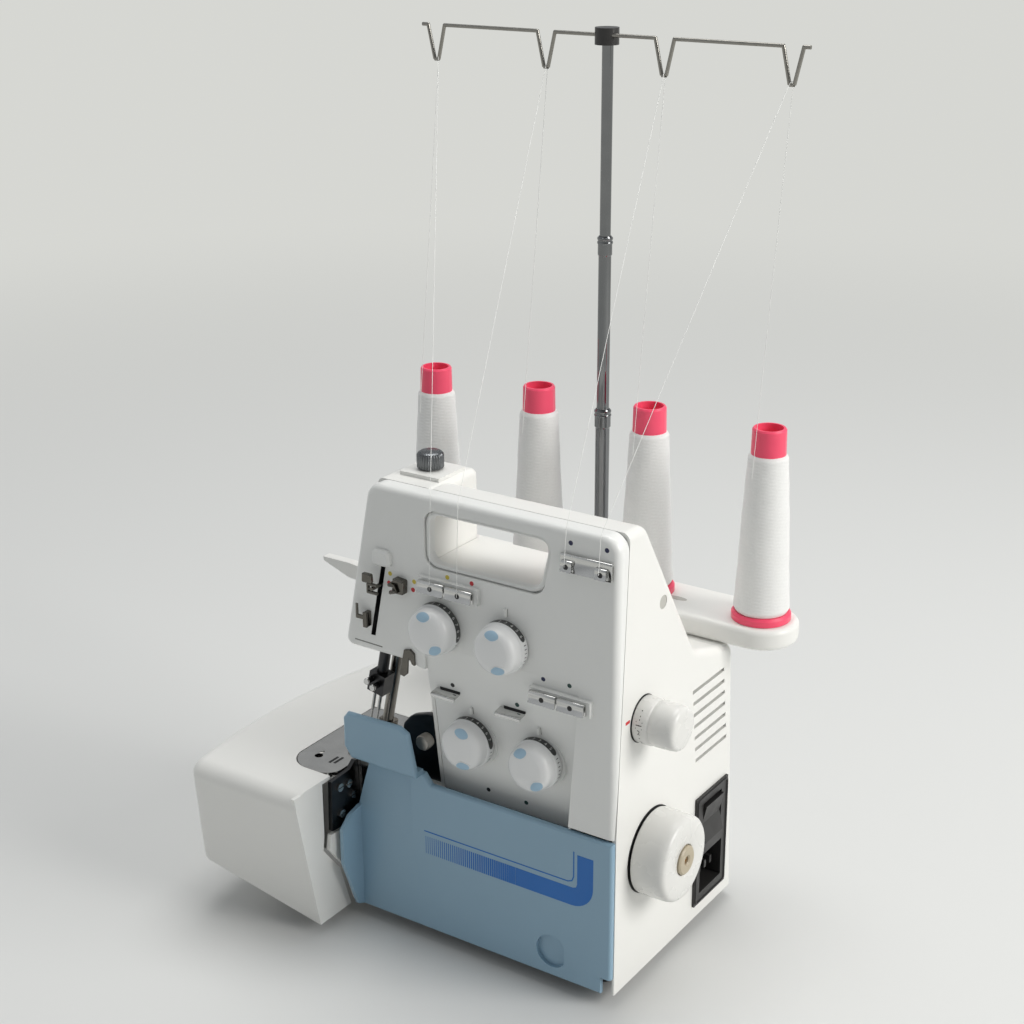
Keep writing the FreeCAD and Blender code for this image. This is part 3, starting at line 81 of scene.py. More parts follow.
walls = bpy.data.worlds.new("pale_walls")
walls.use_nodes = True
nodes = walls.node_tree.nodes
facing = nodes.new("ShaderNodeTexCoord")
ways = nodes.new("ShaderNodeSeparateXYZ")
dim_front = nodes.new("ShaderNodeMapRange")
dim_front.interpolation_type = "SMOOTHSTEP"
for label, value in (("From Min", -0.8), ("From Max", 0.3), ("To Max", 0.44)):
    dim_front.inputs[label].default_value = value
dim_right = nodes.new("ShaderNodeMapRange")
dim_right.interpolation_type = "SMOOTHSTEP"
for label, value in (("From Min", -0.7), ("From Max", 0.7), ("To Min", 0.52), ("To Max", 0.15)):
    dim_right.inputs[label].default_value = value
nodes["Background"].inputs["Color"].default_value = (0.95, 0.98, 1.0, 1)
walls.node_tree.links.new(ways.outputs["X"], dim_right.inputs["Value"])
walls.node_tree.links.new(dim_right.outputs["Result"], dim_front.inputs["To Min"])
walls.node_tree.links.new(facing.outputs["Generated"], ways.inputs["Vector"])
walls.node_tree.links.new(ways.outputs["Y"], dim_front.inputs["Value"])
walls.node_tree.links.new(dim_front.outputs["Result"], nodes["Background"].inputs["Strength"])
scene.world = walls


def link(material, source, target):
    material.node_tree.links.new(source, target)


paper = bpy.data.materials.new("pale_paper")
paper.use_nodes = True
nodes = paper.node_tree.nodes
fibre = nodes.new("ShaderNodeTexNoise")
fibre.inputs["Scale"].default_value = 3.0
tone = nodes.new("ShaderNodeValToRGB")
tone.color_ramp.elements[0].color = (0.66, 0.665, 0.655, 1)
tone.color_ramp.elements[1].color = (0.71, 0.71, 0.695, 1)
link(paper, fibre.outputs["Fac"], tone.inputs["Fac"])
link(paper, tone.outputs["Color"], nodes["Principled BSDF"].inputs["Base Color"])
nodes["Principled BSDF"].inputs["Roughness"].default_value = 0.75
ground = nodes.new("ShaderNodeTexCoord")
away = nodes.new("ShaderNodeVectorMath")
away.operation = "LENGTH"
fade = nodes.new("ShaderNodeMapRange")
fade.interpolation_type = "SMOOTHSTEP"
fade.inputs["From Min"].default_value = 0.45
fade.inputs["From Max"].default_value = 2.2
seen = nodes.new("ShaderNodeLightPath")
seen_too = nodes.new("ShaderNodeMath")
seen_too.operation = "ADD"
seen_all = nodes.new("ShaderNodeMath")
seen_all.operation = "ADD"
seen_all.use_clamp = True
share = nodes.new("ShaderNodeMath")
share.operation = "MULTIPLY"
haze = nodes.new("ShaderNodeEmission")
haze.inputs["Color"].default_value = (0.675, 0.68, 0.65, 1)
blend = nodes.new("ShaderNodeMixShader")
link(paper, ground.outputs["Object"], away.inputs[0])
link(paper, away.outputs["Value"], fade.inputs["Value"])
link(paper, seen.outputs["Is Camera Ray"], seen_too.inputs[0])
link(paper, seen.outputs["Is Glossy Ray"], seen_too.inputs[1])
link(paper, seen_too.outputs["Value"], seen_all.inputs[0])
link(paper, seen.outputs["Is Transmission Ray"], seen_all.inputs[1])
link(paper, fade.outputs["Result"], share.inputs[0])
link(paper, seen_all.outputs["Value"], share.inputs[1])
link(paper, share.outputs["Value"], blend.inputs["Fac"])
link(paper, nodes["Principled BSDF"].outputs["BSDF"], blend.inputs[1])
link(paper, haze.outputs["Emission"], blend.inputs[2])
link(paper, blend.outputs["Shader"], nodes["Material Output"].inputs["Surface"])
floor_mesh = bpy.data.meshes.new("floor")
floor_corners = [(x * FLOOR_REACH, y * FLOOR_REACH, 0) for x, y in ((-1, -1), (1, -1), (1, 1), (-1, 1))]
floor_mesh.from_pydata(floor_corners, [], [(0, 1, 2, 3)])
floor_mesh.materials.append(paper)
floor = bpy.data.objects.new("floor", floor_mesh)
scene.collection.objects.link(floor)

# Threads: four spun polyester sewing threads, drawn off the cones, over the wire loops of the tree
# and down over the top edge of the panel to their guides. They hang taut between these.
RIGHT_SIDE, COVER_FACE = 121.25, -60.5
CREASE = math.radians(38)


def spot(u, v, z):
    """A place in metres from millimetres left of the right side, behind the cover's face, and up."""
    return Vector((RIGHT_SIDE - u, COVER_FACE + v, z)) / 1000


def piece(name, verts, faces, material, body, smooth=True):
    mesh = bpy.data.meshes.new(name)
    mesh.from_pydata([tuple(p) for p in verts], [], faces)
    shape = bmesh.new()
    shape.from_mesh(mesh)
    bmesh.ops.recalc_face_normals(shape, faces=shape.faces)
    shape.to_mesh(mesh)
    shape.free()
    mesh.materials.append(material)
    mesh.polygons.foreach_set("use_smooth", [smooth] * len(mesh.polygons))
    if smooth:
        mesh.set_sharp_from_angle(angle=CREASE)
    made = bpy.data.objects.new(name, mesh)
    scene.collection.objects.link(made)
    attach(made, body)
    return made


def rings(levels, count):
    """The faces of a skin that joins closed rings of points, each to the next."""
    faces = []
    for i in range(levels - 1):
        for k in range(count):
            n = (k + 1) % count
            faces.append((i * count + k, i * count + n, (i + 1) * count + n, (i + 1) * count + k))
    return faces


def capped(levels, count):
    """The same skin with its first and last ring closed."""
    last = (levels - 1) * count
    return rings(levels, count) + [tuple(range(count))[::-1], tuple(range(last, last + count))]


def tube(points, radius, sides):
    """The skin of a round strand that follows the points, closed at both ends."""
    verts = []
    side = None
    for i, here in enumerate(points):
        ahead = (points[min(i + 1, len(points) - 1)] - points[max(i - 1, 0)]).normalized()
        if side is None:
            side = ahead.orthogonal().normalized()
        side = (side - ahead * side.dot(ahead)).normalized()
        over = ahead.cross(side)
        for k in range(sides):
            turn = 2 * math.pi * k / sides
            verts.append(here + (side * math.cos(turn) + over * math.sin(turn)) * radius)
    return verts, capped(len(points), sides)


def effect(name, inputs, outputs):
    """An empty shader group with its named inputs and outputs."""
    group = bpy.data.node_groups.new(name, "ShaderNodeTree")
    for label, kind, value in inputs:
        group.interface.new_socket(label, in_out="INPUT", socket_type=kind).default_value = value
    for label, kind in outputs:
        group.interface.new_socket(label, in_out="OUTPUT", socket_type=kind)
    return group, group.nodes.new("NodeGroupInput"), group.nodes.new("NodeGroupOutput")


FLOAT, COLOUR = "NodeSocketFloat", "NodeSocketColor"
fibre_twist, given, gives = effect("thread_twist", [
    ("Light", COLOUR, (0.9, 0.9, 0.88, 1)), ("Shade", COLOUR, (0.7, 0.7, 0.68, 1)), ("Lay", FLOAT, 900)],
    [("Colour", COLOUR), ("Roughness", FLOAT), ("Height", FLOAT)])
spots = fibre_twist.nodes.new("ShaderNodeTexCoord")
fuzz = fibre_twist.nodes.new("ShaderNodeTexNoise")
fuzz.inputs["Detail"].default_value = 4
pick = fibre_twist.nodes.new("ShaderNodeMix")
pick.data_type = "RGBA"
dull = fibre_twist.nodes.new("ShaderNodeMapRange")
dull.inputs["To Min"].default_value = 0.45
dull.inputs["To Max"].default_value = 0.7
wire = fibre_twist.links.new
wire(spots.outputs["Object"], fuzz.inputs["Vector"])
wire(given.outputs["Lay"], fuzz.inputs["Scale"])
wire(fuzz.outputs["Fac"], pick.inputs[0])
wire(given.outputs["Shade"], pick.inputs[6])
wire(given.outputs["Light"], pick.inputs[7])
wire(fuzz.outputs["Fac"], dull.inputs["Value"])
wire(pick.outputs[2], gives.inputs["Colour"])
wire(dull.outputs["Result"], gives.inputs["Roughness"])
wire(fuzz.outputs["Fac"], gives.inputs["Height"])


def finish(name, group, settings, bump, **sockets):
    """A material with one surface effect; plain numbers go on the shader's own sockets."""
    material = bpy.data.materials.new(name)
    material.use_nodes = True
    tree = material.node_tree
    shader = tree.nodes["Principled BSDF"]
    skin = tree.nodes.new("ShaderNodeGroup")
    skin.node_tree = group
    for label, value in settings.items():
        skin.inputs[label].default_value = value
    link(material, skin.outputs["Colour"], shader.inputs["Base Color"])
    link(material, skin.outputs["Roughness"], shader.inputs["Roughness"])
    relief = tree.nodes.new("ShaderNodeBump")
    relief.inputs["Strength"].default_value = bump[0]
    relief.inputs["Distance"].default_value = bump[1]
    link(material, skin.outputs["Height"], relief.inputs["Height"])
    link(material, relief.outputs["Normal"], shader.inputs["Normal"])
    for label, value in sockets.items():
        shader.inputs[label.replace("_", " ")].default_value = value
    return material


strand = finish("sewing_thread", fibre_twist,
                {"Light": (0.93, 0.93, 0.91, 1), "Shade": (0.78, 0.78, 0.76, 1), "Lay": 2500},
                (0.2, 0.00005), Sheen_Weight=0.2)
THREAD_ACROSS = 0.0003
THREAD_ROUTES = (
    (1, (-8, 135.0, 280.8), (-10.9, 157.3, 495.4), (-11.1, 157.8, 499.1), (-10.7, 155.4, 500.1),
     (-10.2, 153.2, 497.2), (10.1, 3.0, 290.1), (10.5, 0.3, 286.2), (10.2, -0.6, 283.3), (8.5, -5.1, 266)),
    (2, (70, 135.0, 280.8), (67.1, 157.3, 495.4), (66.9, 157.8, 499.1), (66.5, 155.4, 500.1),
     (66.0, 153.2, 497.2), (32.0, 3.0, 290.1), (31.5, 0.3, 286.2), (31.2, -0.6, 283.3), (29.5, -5.1, 266)),
    (3, (148, 135.0, 280.8), (145.1, 157.3, 495.4), (144.9, 157.8, 499.1), (144.4, 155.4, 500.1),
     (143.8, 153.2, 497.2), (101.2, 3.0, 290.1), (100.5, 0.3, 286.2), (100.3, -0.6, 283.3),
     (98.5, -5.5, 233)),
    (4, (226, 135.0, 280.8), (223.1, 157.3, 495.4), (222.9, 157.8, 499.1), (221.6, 155.4, 500.1),
     (219.9, 153.2, 497.2), (121.0, 3.0, 290.1), (119, 0.3, 286.2), (118.7, -0.6, 283.3), (117, -5.5, 233)),
)
for number, *corners in THREAD_ROUTES:
    route = [spot(*corner) for corner in corners]
    line = bpy.data.curves.new("thread_line", "CURVE")
    line.dimensions = "3D"
    run = line.splines.new("NURBS")
    run.points.add(len(route) - 1)
    for point, place in zip(run.points, route):
        point.co = (*place, 1)
    run.order_u = 3
    run.use_endpoint_u = True
    run.resolution_u = 12
    holder = bpy.data.objects.new("thread_line", line)
    scene.collection.objects.link(holder)
    bpy.context.view_layer.update()
    followed = [v.co.copy() for v in bpy.data.meshes.new_from_object(holder).vertices]
    bpy.data.objects.remove(holder)
    thread = piece(f"thread_{number}", *tube(followed, THREAD_ACROSS / 2, 8), strand, "machine")
    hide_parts("threads")
    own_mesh(thread)

# Housing: injection-moulded ABS in a warm white, with a fine sparked skin that is smoother on the front
# panel. The rear shell, the panel, the head's back shell and the spool stand screw together
# over a grey floor tray on black rubber feet.
moulded_skin, given, gives = effect("moulded_skin", [
    ("Light", COLOUR, (0.8, 0.8, 0.78, 1)), ("Shade", COLOUR, (0.74, 0.74, 0.72, 1)),
    ("Gloss", FLOAT, 0.3), ("Matt", FLOAT, 0.42), ("Grain", FLOAT, 1500)],
    [("Colour", COLOUR), ("Roughness", FLOAT), ("Height", FLOAT)])
spots = moulded_skin.nodes.new("ShaderNodeTexCoord")
cloud = moulded_skin.nodes.new("ShaderNodeTexNoise")
cloud.inputs["Scale"].default_value = 11
cloud.inputs["Detail"].default_value = 3
smear = moulded_skin.nodes.new("ShaderNodeTexNoise")
smear.inputs["Scale"].default_value = 70
smear.inputs["Detail"].default_value = 5
peel = moulded_skin.nodes.new("ShaderNodeTexNoise")
peel.inputs["Detail"].default_value = 2
pick = moulded_skin.nodes.new("ShaderNodeMix")
pick.data_type = "RGBA"
rub = moulded_skin.nodes.new("ShaderNodeMapRange")
rub.inputs["From Min"].default_value = 0.35
rub.inputs["From Max"].default_value = 0.65
wire = moulded_skin.links.new
for noise in (cloud, smear, peel):
    wire(spots.outputs["Object"], noise.inputs["Vector"])
wire(given.outputs["Grain"], peel.inputs["Scale"])
wire(cloud.outputs["Fac"], pick.inputs[0])
wire(given.outputs["Shade"], pick.inputs[6])
wire(given.outputs["Light"], pick.inputs[7])
wire(smear.outputs["Fac"], rub.inputs["Value"])
wire(given.outputs["Gloss"], rub.inputs["To Min"])
wire(given.outputs["Matt"], rub.inputs["To Max"])
wire(pick.outputs[2], gives.inputs["Colour"])
wire(rub.outputs["Result"], gives.inputs["Roughness"])
wire(peel.outputs["Fac"], gives.inputs["Height"])


def moulded(name, light, shade, gloss, matt, grain, relief):
    settings = {"Light": (*light, 1), "Shade": (*shade, 1), "Gloss": gloss, "Matt": matt, "Grain": grain}
    return finish(name, moulded_skin, settings, (0.25, relief))


def paint(material, *names):
    """Give pieces of the frame their finish."""
    for name in names:
        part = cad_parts[name]
        if not part.material_slots:
            part.data.materials.append(material)
        for place in part.material_slots:
            place.material = material


body_white = moulded("body_white", (0.82, 0.815, 0.785), (0.79, 0.785, 0.755), 0.33, 0.37, 1700, 0.00003)
panel_white = moulded("panel_white", (0.81, 0.815, 0.795), (0.785, 0.79, 0.77), 0.28, 0.32, 1700, 0.00002)
paint(body_white, "rear_housing", "head_housing", "spool_stand", "extension_table", "free_arm",
      "lifter_lever", "arm_side_cover")
paint(panel_white, "front_panel")
# Flat black painted shadow, laid where slots, gaps and holes fall into shade; it is not a real black part.
painted_shadow = moulded("shadow_black", (0.015, 0.015, 0.016), (0.01, 0.01, 0.011), 0.5, 0.7, 900, 0.00002)
rubber = moulded("foot_rubber", (0.035, 0.035, 0.036), (0.02, 0.02, 0.021), 0.6, 0.8, 1200, 0.00006)
paint(rubber, "rubber_feet", "drive_belt")
tray_grey = moulded("tray_grey", (0.33, 0.335, 0.34), (0.28, 0.285, 0.29), 0.45, 0.6, 1400, 0.00005)
paint(tray_grey, "base_tray")

# Inner works: a cast and milled alloy frame with bronze bushes, a painted motor and turned steel shafts.
# The frame plates bolt to the floor and carry the main shaft, which a belt drives.
brushed, given, gives = effect("brushed_metal", [
    ("Light", COLOUR, (0.7, 0.7, 0.7, 1)), ("Shade", COLOUR, (0.5, 0.5, 0.5, 1)), ("Gloss", FLOAT, 0.15),
    ("Matt", FLOAT, 0.35), ("Along", "NodeSocketVector", (1, 1, 0.05)), ("Fineness", FLOAT, 3000)],
    [("Colour", COLOUR), ("Roughness", FLOAT), ("Height", FLOAT)])
spots = brushed.nodes.new("ShaderNodeTexCoord")
draw = brushed.nodes.new("ShaderNodeVectorMath")
draw.operation = "MULTIPLY"
lines = brushed.nodes.new("ShaderNodeTexNoise")
lines.inputs["Detail"].default_value = 3
tarnish = brushed.nodes.new("ShaderNodeTexNoise")
tarnish.inputs["Scale"].default_value = 120
tarnish.inputs["Detail"].default_value = 5
pick = brushed.nodes.new("ShaderNodeMix")
pick.data_type = "RGBA"
rub = brushed.nodes.new("ShaderNodeMapRange")
wire = brushed.links.new
wire(spots.outputs["Object"], draw.inputs[0])
wire(given.outputs["Along"], draw.inputs[1])
wire(draw.outputs["Vector"], lines.inputs["Vector"])
wire(given.outputs["Fineness"], lines.inputs["Scale"])
wire(spots.outputs["Object"], tarnish.inputs["Vector"])
wire(tarnish.outputs["Fac"], pick.inputs[0])
wire(given.outputs["Shade"], pick.inputs[6])
wire(given.outputs["Light"], pick.inputs[7])
wire(lines.outputs["Fac"], rub.inputs["Value"])
wire(given.outputs["Gloss"], rub.inputs["To Min"])
wire(given.outputs["Matt"], rub.inputs["To Max"])
wire(pick.outputs[2], gives.inputs["Colour"])
wire(rub.outputs["Result"], gives.inputs["Roughness"])
wire(lines.outputs["Fac"], gives.inputs["Height"])


def metal(name, light, shade, gloss, matt, along, fineness, relief):
    return finish(name, brushed, {"Light": (*light, 1), "Shade": (*shade, 1), "Gloss": gloss, "Matt": matt,
                                  "Along": along, "Fineness": fineness}, (0.15, relief), Metallic=1.0)


cast_alloy = metal("frame_alloy", (0.56, 0.56, 0.55), (0.42, 0.42, 0.42), 0.35, 0.55, (1, 1, 1), 900, 0.00004)
bronze = metal("bush_bronze", (0.62, 0.42, 0.22), (0.48, 0.31, 0.16), 0.3, 0.45, (0.05, 1, 1), 2500, 0.00002)
bar_steel = metal("bar_steel", (0.50, 0.50, 0.49), (0.36, 0.36, 0.35), 0.16, 0.34, (1, 1, 0.04), 3000,
                  0.00001)
motor_paint = moulded("motor_paint", (0.10, 0.11, 0.12), (0.07, 0.075, 0.08), 0.4, 0.55, 600, 0.00006)
paint(cast_alloy, "chassis", "head_frame")
paint(bronze, "shaft_bushes")
paint(bar_steel, "main_shaft", "hinge_rod", "pivot_pins", "tension_posts", "tension_discs", "upper_looper",
      "lower_looper", "feed_dog", "spool_pins")
paint(motor_paint, "motor")
black_plastic = moulded("black_plastic", (0.028, 0.027, 0.026), (0.017, 0.016, 0.016), 0.3, 0.45, 1300,
                        0.00004)
paint(black_plastic, "motor_pulley", "shaft_pulley", "power_inlet", "rocker_switch")

# Housing trim: painted shadow lining the take-up slot, a small hood over it, a grey line of painted
# shade standing for a groove, the recess's right cheek, the handle's inner lip and the printed threading
# dots. The hood, the cheek and the lip are moulded in.
PANEL_FACE, RECESS_TOP, RECESS_SLOPE = 1.5, 195.8, 0.136
RECESS_RIGHT, RECESS_LEFT = 24, 122
STRIP_LOW, STRIP_TALL, STRIP_WIDE, STRIP_TAPER = 94, 107, 31, 8
SUNK = 0.15
INK_AND_SHADE_THICK, INK_AND_SHADE_RIM = 0.12, 0.05


def on_panel(u, height, z):
    """A place at a height above the front panel's face, the stepped-back part included."""
    back = max(0.0, RECESS_TOP - z) * RECESS_SLOPE if RECESS_RIGHT < u < RECESS_LEFT else 0.0
    return spot(u, PANEL_FACE + back - height, z)


def slab(outline, lay, thick, rim):
    """A flat piece with a softened front edge, laid on a surface by the given placing."""
    count = len(outline)
    inset = []
    for i, (a, b) in enumerate(outline):
        before, after = outline[i - 1], outline[(i + 1) % count]
        along = Vector((after[0] - before[0], after[1] - before[1])).normalized()
        inset.append((a - along.y * rim, b + along.x * rim))
    area = sum(outline[i - 1][0] * p[1] - p[0] * outline[i - 1][1] for i, p in enumerate(outline))
    if area < 0:
        inset = [(2 * a - c, 2 * b - d) for (a, b), (c, d) in zip(outline, inset)]
    verts = [lay(a, -SUNK, b) for a, b in outline] + [lay(a, thick - rim, b) for a, b in outline]
    verts += [lay(a, thick, b) for a, b in inset]
    faces = [tuple(range(2 * count, 3 * count)), tuple(range(count))[::-1]]
    for i in range(count):
        n = (i + 1) % count
        for level in (0, count):
            faces.append((level + i, level + n, level + count + n, level + count + i))
    return verts, faces


def rounded_loop(corners, radius, steps=5):
    """A flat outline with each corner turned through a quadratic curve."""
    loop = []
    for i, here in enumerate(corners):
        here = Vector(here)
        back, ahead = Vector(corners[i - 1]) - here, Vector(corners[(i + 1) % len(corners)]) - here
        start = here + back.normalized() * min(radius, back.length / 2)
        end = here + ahead.normalized() * min(radius, ahead.length / 2)
        for k in range(steps + 1):
            t = k / steps
            loop.append(tuple(start * (1 - t) ** 2 + here * 2 * t * (1 - t) + end * t * t))
    return loop


def oval(a, b, wide, tall, count=20):
    return [(a + wide * math.cos(2 * math.pi * k / count), b + tall * math.sin(2 * math.pi * k / count))
            for k in range(count)]


def merge(*shapes):
    """Several skins as the verts and faces of one piece."""
    verts, faces = [], []
    for more_verts, more_faces in shapes:
        faces += [tuple(i + len(verts) for i in face) for face in more_faces]
        verts += more_verts
    return verts, faces


# A flat material for printed ink, also used for the lines of painted shade.
def ink_and_shade(name, colour):
    return moulded(name, colour, tuple(c * 0.8 for c in colour), 0.35, 0.5, 2000, 0.00001)


# The take-up slot's inside is lined with a black sheet of painted shadow.
slot_loop = [(152.5, 236.9), (155.5, 236.9), (164.4, 192.1), (161.5, 192.1)]
slot_shadow_verts = [spot(u, v, z) for v in (1.55, 11.6) for u, z in slot_loop]
piece("slot_painted_shadow", slot_shadow_verts, rings(2, len(slot_loop)), painted_shadow, "machine", False)
hood_loop = rounded_loop([(147.5, 237.6), (160.5, 237.6), (159.6, 247), (148.5, 247)], 2.5)
piece("slot_hood", *slab(hood_loop, on_panel, 3.6, 1.3), panel_white, "machine")
# Grey for lines of painted shade: the head's groove here, and the dial pegs' shaded sides below.
groove_shade_grey = ink_and_shade("groove_shade_grey", (0.24, 0.24, 0.23))
groove_loop = rounded_loop([(156.5, 185.7), (176.7, 186.1), (176.7, 186.8), (156.5, 186.4)], 0.3)
piece("head_groove_shade", *slab(groove_loop, on_panel, INK_AND_SHADE_THICK, INK_AND_SHADE_RIM), groove_shade_grey, "machine")
cheek = []
cheek_levels = (99.2, 140, 180)
for z in cheek_levels:
    edge = STRIP_WIDE - STRIP_TAPER * (z - STRIP_LOW) / STRIP_TALL
    front, back = 2.6, 3.0 + RECESS_SLOPE * (RECESS_TOP - z)
    section = ((edge + 0.05, front), (edge + 0.05, back), (edge - 1, back), (edge - 1, front))
    cheek += [spot(u, v, z) for u, v in section]
cheek_ends = [(0, 1, 2, 3), (8, 9, 10, 11)]
piece("recess_cheek", cheek, rings(len(cheek_levels), 4) + cheek_ends, panel_white, "machine", False)
grip_loop = rounded_loop([(48.2, 244.2), (41.4, 275.8), (123.8, 275.8), (123.8, 244.2)], 9, 8)
lip_verts, lip_faces = [], []
LIP_SECTION = ((-0.9, 3.2), (0.4, 2.6), (1.5, 3.1), (2.0, 4.4), (2.0, 7.5), (-0.9, 8.5))
lip_middle = Vector((84, 260))
for u, z in grip_loop:
    toward = lip_middle - Vector((u, z))
    inward = Vector((toward.x * 0.4, toward.y)).normalized()
    for step, v in LIP_SECTION:
        lip_verts.append(spot(u + inward.x * step, v, z + inward.y * step))
around, across = len(grip_loop), len(LIP_SECTION)
for i in range(around):
    for k in range(across):
        n, m = (i + 1) % around, (k + 1) % across
        lip_faces.append((i * across + k, n * across + k, n * across + m, i * across + m))
piece("handle_lip", lip_verts, lip_faces, panel_white, "machine")
DOTS = (
    ("dot_blue", (0.012, 0.016, 0.07), ((29.5, 277.5), (7.5, 278), (46.5, 194.5))),
    ("dot_green", (0.015, 0.06, 0.05), ((29.7, 195), (65.6, 172.6), (65.5, 107))),
    ("dot_black", (0.012, 0.012, 0.014), ((109.4, 173), (91.5, 107.5))),
    ("dot_yellow", (0.72, 0.58, 0.08), ((109.5, 240), (149.4, 233.3), (132.5, 232.1))),
    ("dot_red", (0.62, 0.035, 0.045), ((93.1, 240), (150.3, 227.4), (133.4, 227))),
)
DOT_RADIUS = 1.35
for name, colour, places in DOTS:
    dots = [slab(oval(u, z, DOT_RADIUS, DOT_RADIUS), on_panel, INK_AND_SHADE_THICK, INK_AND_SHADE_RIM) for u, z in places]
    piece(name, *merge(*dots), ink_and_shade(name, colour), "machine")

# Handwheel: a smooth white moulding pressed on the main shaft and held by a screw through its beige disc.
# Behind it, the round clearance hole in the housing wall is drawn as a ring of painted shadow.
ACROSS, FORWARD, UP = Vector((1, 0, 0)), Vector((0, -1, 0)), Vector((0, 0, 1))


def lathe(profile, centre, axis, count=72):
    """A turned skin from (radius, distance along the axis) pairs in millimetres."""
    side = UP if abs(axis.z) < 0.5 else ACROSS
    over = axis.cross(side)
    verts = []
    for radius, along in profile:
        for k in range(count):
            turn = 2 * math.pi * k / count
            outward = side * math.cos(turn) + over * math.sin(turn)
            verts.append(centre + (axis * along + outward * radius) / 1000)
    return verts, capped(len(profile), count)


def turned(name, profile, centre, axis, material, body, count=72):
    return piece(name, *lathe(profile, centre, axis, count), material, body)


def shadow_ring(name, inner, outer, centre):
    """A ring of painted shadow lying on the side wall, where a clearance gap is."""
    low, high = 0.02, 0.2
    section = [(inner, low), (outer, low), (outer, high), (inner, high), (inner, low)]
    count = 72
    piece(name, lathe(section, centre, ACROSS, count)[0], rings(len(section), count), painted_shadow, "machine")


knob_white = moulded("knob_white", (0.73, 0.728, 0.70), (0.71, 0.705, 0.68), 0.25, 0.29, 1500, 0.00002)
hub_beige = moulded("hub_beige", (0.46, 0.40, 0.29), (0.42, 0.36, 0.26), 0.35, 0.5, 1400, 0.00003)
plug_grey = moulded("grey_plastic", (0.50, 0.49, 0.45), (0.44, 0.43, 0.40), 0.4, 0.55, 1400, 0.00003)
wheel_middle = spot(0, 42, 84.5)
WHEEL = [(6.1, 1), (24.4, 1), (25.2, 1.6), (25.5, 3.0), (25.5, 16.5), (25.3, 19), (24.7, 20.9),
         (23.6, 22.1), (22.0, 22.5), (9.9, 22.5), (9.3, 22.2), (9.05, 21.4), (9.05, 20.4), (6.1, 20.4)]
wheel = turned("handwheel_rim", WHEEL, wheel_middle, ACROSS, knob_white, "handwheel", 96)
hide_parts("handwheel")
paint(hub_beige, "handwheel_disc")
HUB_SCREW = [(0.3, 20.8), (2.2, 20.8), (2.2, 22.2), (1.7, 22.6), (0.9, 22.7), (0.8, 22.1), (0.1, 22.1)]
turned("hub_screw", HUB_SCREW, wheel_middle, ACROSS, bronze, "handwheel", 32)
# A ring of painted shadow marks the clearance gap behind the wheel.
shadow_ring("wheel_gap_shadow", 19, 25.8, wheel_middle)

# Stitch dial: a white two-step knob on its spindle, with printed figures on the inner ring.
# A red pointer is printed on the housing beside it, and a grey plug hides a housing screw above.


def figures(text, high):
    """A printed figure as a flat outline filled with faces, in millimetres about its middle."""
    letters = bpy.data.curves.new("figure", "FONT")
    letters.body = text
    letters.size = high * 1.4
    letters.align_x = "CENTER"
    letters.resolution_u = 2
    holder = bpy.data.objects.new("figure", letters)
    scene.collection.objects.link(holder)
    bpy.context.view_layer.update()
    flat = bpy.data.meshes.new_from_object(holder)
    bpy.data.objects.remove(holder)
    verts = [(v.co.x, v.co.y - high / 2) for v in flat.vertices]
    faces = [tuple(p.vertices) for p in flat.polygons]
    bpy.data.meshes.remove(flat)
    return verts, faces


def around_rim(flat, centre, axis, radius, angle, along, turn=0.0):
    """Flat print wrapped on a cylinder at an angle from the upright, toward the axis' left-hand side."""
    over = axis.cross(UP)
    verts = []
    for x, y in flat[0]:
        a, b = x * math.cos(turn) - y * math.sin(turn), x * math.sin(turn) + y * math.cos(turn)
        where = math.radians(angle) + a / radius
        outward = UP * math.cos(where) + over * math.sin(where)
        verts.append(centre + (axis * (along + b) + outward * radius) / 1000)
    return verts, flat[1]


def bar_mark(wide, tall):
    corners = ((-1, -1), (1, -1), (1, 1), (-1, 1))
    return [(x * wide / 2, y * tall / 2) for x, y in corners], [(0, 1, 2, 3)]


stitch_middle = spot(0, 30, 172)
STITCH = [(4.3, 0.6), (13.2, 0.6), (13.4, 0.9), (13.4, 8.7), (13.1, 9.2), (12.6, 9.7), (12.6, 10.3),
          (13.0, 11.1), (13.1, 12.5), (12.9, 21.5), (12.6, 23.5), (11.8, 24.8), (10.2, 25.4), (6, 25.5),
          (0.05, 25.6)]
stitch = turned("stitch_knob", STITCH, stitch_middle, ACROSS, knob_white, "stitch_dial", 96)
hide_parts("stitch_dial")
print_black = ink_and_shade("print_black", (0.035, 0.034, 0.033))
FIGURE_RADIUS, FIGURE_ROW, FIGURE_STEP = 13.46, 4.8, 36
on_ring = (stitch_middle, ACROSS, FIGURE_RADIUS)
marks = [around_rim(figures(figure, 3.0), *on_ring, 62 + FIGURE_STEP * i, FIGURE_ROW, math.pi / 2)
         for i, figure in enumerate("1234")]
marks += [around_rim(bar_mark(0.7, 0.7), *on_ring, 44 + FIGURE_STEP * i, FIGURE_ROW) for i in range(6)]
marks += [around_rim(shape, *on_ring, 80, along) for shape, along in (
    (bar_mark(4.2, 0.4), 3.0), (bar_mark(4.2, 0.4), 6.6), (bar_mark(0.5, 3.6), FIGURE_ROW))]
piece("stitch_figures", *merge(*marks), print_black, "stitch_dial", False)
# A ring of painted shadow marks the clearance gap behind the stitch knob.
shadow_ring("stitch_gap_shadow", 5, 13.85, stitch_middle)


def on_side(v, height, z):
    return spot(-height, v, z)


marker_red = ink_and_shade("marker_red", (0.66, 0.03, 0.035))
marker_loop = rounded_loop([(11.2, 175.2), (15.6, 175.2), (15.6, 177.0), (11.2, 177.0)], 0.4)
piece("stitch_pointer", *slab(marker_loop, on_side, 0.14, INK_AND_SHADE_RIM), marker_red, "machine")
paint(plug_grey, "screw_plug")

